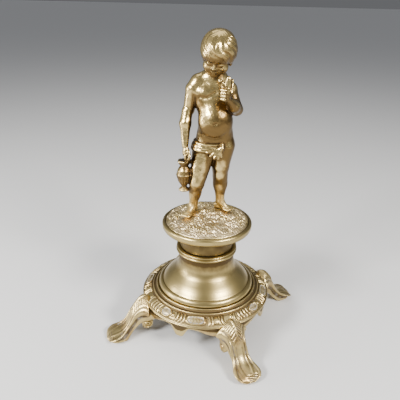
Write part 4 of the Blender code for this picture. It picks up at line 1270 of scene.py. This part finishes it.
class Shade:
    """A shader socket that can be used in sums."""

    def __init__(self, tree, socket):
        self.tree = tree
        self.socket = socket

    def node(self, kind, settings=None, **sockets):
        """Add a node, set it up, then fill its sockets with values or other sockets."""
        item = self.tree.nodes.new(kind)
        for name, value in (settings or {}).items():
            setattr(item, name, value)
        for name, value in sockets.items():
            numbered = name[0] == "s" and name[1:].isdigit()
            socket = item.inputs[int(name[1:]) if numbered else name]
            if isinstance(value, Shade):
                self.tree.links.new(value.socket, socket)
            else:
                socket.default_value = value
        return item

    def output(self, name, kind, settings=None, **sockets):
        """Add a node and give one of its outputs, by its name or number."""
        return Shade(self.tree, self.node(kind, settings, **sockets).outputs[name])

    def split(self):
        """The x, y and z of a vector."""
        return [Shade(self.tree, part) for part in self.node("ShaderNodeSeparateXYZ", Vector=self).outputs]

    def math(self, operation, first, second=0.0, clamp=False):
        return self.output(
            0, "ShaderNodeMath", {"operation": operation, "use_clamp": clamp}, s0=first, s1=second)

    def __add__(self, other):
        return self.math('ADD', self, other)

    __radd__ = __add__

    def __sub__(self, other):
        return self.math('SUBTRACT', self, other)

    def __rsub__(self, other):
        return self.math('SUBTRACT', other, self)

    def __mul__(self, other):
        return self.math('MULTIPLY', self, other)

    __rmul__ = __mul__

    def __pow__(self, other):
        return self.math('POWER', self, other)

    def clamped(self):
        return self.math('ADD', self, 0.0, clamp=True)

    def between(self, low, high):
        """0 below low, 1 above high, and smooth between them."""
        return self.output(
            0, "ShaderNodeMapRange", {"interpolation_type": 'SMOOTHSTEP'},
            s0=self, s1=low, s2=high, s3=0.0, s4=1.0)


class Finish:
    """A brass material under construction."""

    def __init__(self, name):
        self.material = bpy.data.materials.new(name)
        self.material.use_nodes = True
        self.tree = self.material.node_tree
        self.shader = self.tree.nodes["Principled BSDF"]
        self.start = Shade(self.tree, None)
        self.place = self.start.output("Object", "ShaderNodeTexCoord")

    def attribute(self, name):
        """A number that the mesh keeps for each of its points."""
        return self.start.output("Fac", "ShaderNodeAttribute", {"attribute_name": name})

    def cloud(self, size, detail=4.0):
        """Noise whose blotches are about as wide as the size, in metres."""
        scaled = self.start.output(0, "ShaderNodeMapping", Vector=self.place, Scale=(1.0 / size,) * 3)
        return self.start.output(
            "Fac", "ShaderNodeTexNoise", Vector=scaled, Scale=1.0, Detail=detail, Roughness=0.55)

    def mix(self, share, first, second):
        """Blend two colours by a share."""
        first, second = (part if isinstance(part, Shade) else (*part, 1.0) for part in (first, second))
        return self.start.output(
            2, "ShaderNodeMix", {"data_type": 'RGBA'}, s0=share, s6=first, s7=second)

    def bump(self, height, strength, distance):
        item = self.start.node("ShaderNodeBump", Height=height, Strength=strength, Distance=distance)
        self.tree.links.new(item.outputs[0], self.shader.inputs["Normal"])

    def set(self, name, value):
        if isinstance(value, Shade):
            self.tree.links.new(value.socket, self.shader.inputs[name])
        else:
            self.shader.inputs[name].default_value = value


def darker(colour, share):
    return tuple(part * share for part in colour)


def polished_finish(colours):
    """Rubbed gold with brown patina in its creases, darkened to bronze and brown by painted shade."""
    finish = Finish("polished_gold_brass")
    hollow = finish.attribute("hollow")
    painted_shade = finish.attribute("painted_shade")
    low = finish.attribute("low")
    broad = finish.cloud(0.013)
    patch = finish.cloud(0.0045, 3.0)
    fine = finish.cloud(0.0018, 3.0)
    creases = (hollow + 0.12 * (fine - 0.5)).between(0.54, 0.88)
    # Painted shade, mixed with a random deeper tone, turns the gold bronze
    bronze_and_painted_shade = (painted_shade + 0.9 * (broad - 0.5) + 0.3 * (patch - 0.5)).between(0.12, 0.56)
    tone = finish.mix(bronze_and_painted_shade, colours.gold, colours.bronze)
    # Brown patina in the creases plus the deeper painted shade
    deep = (0.85 * creases + 0.60 * bronze_and_painted_shade * bronze_and_painted_shade).clamped()
    finish.set("Base Color", finish.mix(deep * 0.92, tone, colours.brown))
    finish.set("Metallic", 1.0)
    finish.set("Roughness", 0.15 + 0.09 * (broad + fine) + 0.14 * deep + 0.18 * low)
    finish.bump(broad + 0.07 * patch + 0.01 * fine, 0.60, 0.0024)
    return finish.material


def ground_finish(colours):
    """Pale, dusty brass with brown and pinkish dust in the grass."""
    finish = Finish("dusty_ground_brass")
    hollow = finish.attribute("hollow")
    broad = finish.cloud(0.010)
    fine = finish.cloud(0.0009, 4.0)
    deep = (hollow + 0.25 * (fine - 0.5)).between(0.50, 0.80)
    dust = deep * broad.between(0.40, 0.62)
    tone = finish.mix(broad.between(0.35, 0.65), colours.pale_gold, colours.satin)
    dark = finish.mix(deep * 0.62, tone, colours.brown)
    finish.set("Base Color", finish.mix(dust * 0.55, dark, colours.dust))
    finish.set("Metallic", 1.0 - 0.5 * dust)
    finish.set("Roughness", 0.30 + 0.25 * deep + 0.10 * fine)
    finish.bump(fine + 0.6 * broad, 0.35, 0.0004)
    return finish.material


STREAKS_PER_METRE = 1800.0


def satin_finish(colours):
    """Turned brass, olive gold, with soft streaks round its axis."""
    finish = Finish("satin_turned_brass")
    x, y, z = finish.place.split()
    radius = (x * x + y * y) ** 0.5
    streak_at = finish.start.output(
        0, "ShaderNodeCombineXYZ", X=radius * STREAKS_PER_METRE, Y=z * STREAKS_PER_METRE, Z=0.0)
    streaks = finish.start.output("Fac", "ShaderNodeTexNoise", Vector=streak_at, Scale=1.0, Detail=3.0)
    broad = finish.cloud(0.016)
    patch = finish.cloud(0.004, 5.0)
    hollow = finish.attribute("hollow")
    painted_shade = finish.attribute("painted_shade")
    # Patina in the hollows, plus painted shade beneath the plate's rim and the bell's collar
    stain_and_painted_shade = ((hollow + 0.12 * (patch - 0.5)).between(0.56, 0.80) + painted_shade * (0.7 + 0.6 * broad)).clamped()
    tone = finish.mix(broad.between(0.32, 0.68), colours.satin, darker(colours.satin, 0.80))
    finish.set("Base Color", finish.mix(stain_and_painted_shade * 0.9, tone, colours.brown))
    finish.set("Metallic", 1.0)
    finish.set("Roughness", 0.23 + 0.07 * streaks + 0.08 * patch + 0.2 * stain_and_painted_shade)
    finish.bump(streaks + 0.5 * patch, 0.12, 0.0003)
    return finish.material


def cast_finish(colours):
    """Dull cast brass with orange shading and pale residue in the carving."""
    finish = Finish("cast_ring_brass")
    hollow = finish.attribute("hollow")
    pale = finish.attribute("pale")
    broad = finish.cloud(0.016)
    patch = finish.cloud(0.0035, 4.0)
    fine = finish.cloud(0.0009, 3.0)
    sunk = (hollow + 0.22 * (fine - 0.5)).between(0.535, 0.70)
    left = (sunk * 0.45 + pale * 0.80 + 0.8 * (patch - 0.5)).between(0.62, 1.05)
    tone = finish.mix(broad.between(0.43, 0.70), colours.cast, colours.rust)
    dark = finish.mix(sunk * 0.88, tone, colours.brown)
    finish.set("Base Color", finish.mix(left * 0.70, dark, colours.residue))
    finish.set("Metallic", 1.0 - 0.65 * left)
    finish.set("Roughness", 0.27 + 0.12 * patch + 0.25 * sunk)
    finish.bump(fine + 0.8 * patch, 0.22, 0.0004)
    return finish.material


def floor_finish():
    finish = Finish("pale_floor")
    finish.set("Base Color", (0.60, 0.60, 0.60, 1.0))
    finish.set("Roughness", 0.75)
    return finish.material


# Operators

class FIGURINE_OT_boy(bpy.types.Operator):
    """Cast the boy's body, cloth, ewer and bird"""
    bl_idname = "figurine.boy"
    bl_label = "Cast the boy"

    def execute(self, context):
        sizes = context.scene.figurine_figure
        form = body_form()
        finish = polished_finish(context.scene.figurine_finishes)
        cast_figure(sizes, "boy", form, Melted(1.0, form, head_form()), sizes.body_step, BODY_HOLLOW, finish)
        return {'FINISHED'}


class FIGURINE_OT_head(bpy.types.Operator):
    """Cast the boy's head and hair"""
    bl_idname = "figurine.head"
    bl_label = "Cast the head"

    def execute(self, context):
        sizes = context.scene.figurine_figure
        form = head_form()
        finish = bpy.data.materials["polished_gold_brass"]
        cast_figure(sizes, "head", form, form, sizes.head_step, HEAD_HOLLOW, finish)
        return {'FINISHED'}


class FIGURINE_OT_mound(bpy.types.Operator):
    """Cast the grassy mound"""
    bl_idname = "figurine.mound"
    bl_label = "Cast the mound"

    def execute(self, context):
        mesh = mound_mesh(context.scene.figurine_figure)
        mark_hollows(mesh, rounds=16, depth=0.35 * MM)
        finish = ground_finish(context.scene.figurine_finishes)
        add_piece("mound", mesh, finish, "boy_and_mound")
        return {'FINISHED'}


class FIGURINE_OT_plate(bpy.types.Operator):
    """Turn the top plate"""
    bl_idname = "figurine.plate"
    bl_label = "Turn the plate"

    def execute(self, context):
        sizes = context.scene.figurine_base
        outline = plate_outline(sizes, context.scene.figurine_figure.mound_radius)
        mesh = spun_mesh("plate", outline, PLATE_STEPS, False)
        mark_hollows(mesh, rounds=20, depth=0.5 * MM)
        neck = sizes.plate_neck_radius
        # Painted shadow beneath the plate's rim, down its neck
        mark_painted_shade_beneath(mesh, inner=neck, outer=neck + 0.010, under=PLATE_HIGH.z - 0.007, depth=0.045)
        add_piece("plate", mesh, satin_finish(context.scene.figurine_finishes), "top_plate")
        return {'FINISHED'}


class FIGURINE_OT_bell(bpy.types.Operator):
    """Spin the bell"""
    bl_idname = "figurine.bell"
    bl_label = "Spin the bell"

    def execute(self, context):
        sizes = context.scene.figurine_base
        mesh = spun_mesh("spun_bell", bell_outline(sizes), BELL_STEPS, True)
        mark_hollows(mesh, rounds=20, depth=0.5 * MM)
        neck = sizes.bell_neck_radius
        # Painted shadow beneath the bell's collar
        mark_painted_shade_beneath(mesh, inner=neck, outer=neck + 0.003, under=BELL_HIGH.z - 0.004, depth=0.015)
        add_piece("spun_bell", mesh, bpy.data.materials["satin_turned_brass"], "bell")
        return {'FINISHED'}


class FIGURINE_OT_ring(bpy.types.Operator):
    """Cast the carved ring with its skirt"""
    bl_idname = "figurine.ring"
    bl_label = "Cast the ring"

    def execute(self, context):
        mesh = ring_mesh(context.scene.figurine_base)
        mark_hollows(mesh, rounds=12, depth=0.22 * MM)
        add_piece("ring", mesh, cast_finish(context.scene.figurine_finishes), "footed_ring")
        return {'FINISHED'}


class FIGURINE_OT_legs(bpy.types.Operator):
    """Cast the legs and their scrolls"""
    bl_idname = "figurine.legs"
    bl_label = "Cast the legs"

    def execute(self, context):
        sizes = context.scene.figurine_base
        material = bpy.data.materials["cast_ring_brass"]
        patterns = (("leg", leg_mesh(sizes)), ("scroll", scroll_mesh(sizes)))
        for number in range(sizes.leg_count):
            turn = Matrix.Rotation(sizes.leg_start + 2.0 * math.pi * number / sizes.leg_count, 4, 'Z')
            for name, pattern in patterns:
                mesh = pattern.copy()
                mesh.transform(turn)
                mark_hollows(mesh, rounds=14, depth=0.30 * MM)
                add_piece(f"{name}_{number + 1}", mesh, material, "footed_ring")
        for name, pattern in patterns:
            bpy.data.meshes.remove(pattern)
        return {'FINISHED'}


class FIGURINE_OT_stage(bpy.types.Operator):
    """Set the floor, the lights and the camera"""
    bl_idname = "figurine.stage"
    bl_label = "Set the stage"

    def execute(self, context):
        settings = context.scene.figurine_stage
        make_floor()
        make_world(settings)
        make_lights(settings)
        make_camera(settings)
        return {'FINISHED'}


# Stage

LIT_POINT = (0.0, 0.0, 0.12)


def make_floor():
    shape = bmesh.new()
    bmesh.ops.create_grid(shape, x_segments=1, y_segments=1, size=30.0)
    mesh = finished(shape, "floor")
    mesh.materials.append(floor_finish())
    floor = linked("floor", mesh)


def make_world(settings):
    """A dim room, brighter overhead, at its sides and low in front."""
    world = bpy.data.worlds.new("room")
    bpy.context.scene.world = world
    world.use_nodes = True
    tree = world.node_tree
    start = Shade(tree, None)
    right, back, up = start.output("Generated", "ShaderNodeTexCoord").split()
    background = tree.nodes["Background"]
    background.inputs["Color"].default_value = (0.84, 0.86, 0.90, 1.0)
    left = right * -1.0
    front = back * -1.0
    near_floor = 1.0 - up.between(0.0, 0.45)
    sides = 2.6 * left.between(0.4, 1.0) + 1.2 * (left * -1.0).between(0.5, 1.0)
    ahead = 2.4 * front.between(0.1, 0.9) * near_floor
    strength = settings.sky * (0.8 + 1.0 * up.between(0.1, 1.0) + sides + ahead)
    tree.links.new(strength.socket, background.inputs["Strength"])


def make_lights(settings):
    """Two windows in front, a low one at the side and a wide box overhead."""
    key, fill = settings.key_power, settings.fill_power
    boxes = (
        ("left_window", (-0.60, -0.46, 0.60), (0.30, 0.15), key, (1.0, 0.99, 0.97)),
        ("right_window", (0.56, -0.50, 0.62), (0.30, 0.15), key, (1.0, 0.97, 0.92)),
        ("side_window", (-0.78, -0.12, 0.20), (0.14, 0.36), 0.26 * key, (1.0, 0.98, 0.94)),
        ("overhead", (0.0, 0.25, 1.3), (1.1, 0.8), fill, (1.0, 1.0, 1.0)))
    for name, place, size, energy, tint in boxes:
        light = bpy.data.lights.new(name, 'AREA')
        light.shape = 'RECTANGLE'
        light.size, light.size_y = size
        light.energy = energy
        light.color = tint
        item = linked(name, light)
        item.location = place
        item.rotation_euler = (Vector(LIT_POINT) - Vector(place)).to_track_quat('-Z', 'Y').to_euler()


def make_camera(settings):
    camera = bpy.data.cameras.new("camera")
    camera.lens = settings.focal_length
    camera.sensor_width = 36.0
    camera.shift_x = settings.frame_shift
    camera.clip_start = 0.01
    camera.dof.use_dof = False
    item = linked("camera", camera)
    looking = Matrix.Rotation(math.pi / 2.0 - settings.camera_pitch, 4, 'X')
    leaning = Matrix.Rotation(settings.camera_roll, 4, 'Z')
    standing = Matrix.Translation((0.0, -settings.camera_distance, settings.camera_height))
    item.matrix_world = standing @ looking @ leaning
    bpy.context.scene.camera = item


# Panel and registration

PIECES = ("boy", "head", "mound", "plate", "bell", "ring", "legs", "stage")


class FIGURINE_PT_panel(bpy.types.Panel):
    """Sizes, finishes and pieces of the figurine"""
    bl_label = "Brass Boy with Bird"
    bl_idname = "FIGURINE_PT_panel"
    bl_space_type = 'VIEW_3D'
    bl_region_type = 'UI'
    bl_category = "Figurine"

    def draw(self, context):
        scene = context.scene
        groups = (scene.figurine_figure, scene.figurine_base, scene.figurine_finishes, scene.figurine_stage)
        for group in groups:
            box = self.layout.box()
            for name in group.__annotations__:
                box.prop(group, name)
        for piece in PIECES:
            self.layout.operator(f"figurine.{piece}")


CLASSES = (
    FigureSizes, BaseSizes, Finishes, StageSettings, FIGURINE_OT_boy, FIGURINE_OT_head, FIGURINE_OT_mound,
    FIGURINE_OT_plate, FIGURINE_OT_bell, FIGURINE_OT_ring, FIGURINE_OT_legs, FIGURINE_OT_stage,
    FIGURINE_PT_panel)
GROUPS = {
    "figurine_figure": FigureSizes,
    "figurine_base": BaseSizes,
    "figurine_finishes": Finishes,
    "figurine_stage": StageSettings,
}


def register():
    for item in CLASSES:
        bpy.utils.register_class(item)
    for name, group in GROUPS.items():
        setattr(bpy.types.Scene, name, PointerProperty(type=group))


def unregister():
    for name in GROUPS:
        delattr(bpy.types.Scene, name)
    for item in reversed(CLASSES):
        bpy.utils.unregister_class(item)


def main():
    register()
    for piece in PIECES:
        getattr(bpy.ops.figurine, piece)()


if __name__ == "__main__":
    main()
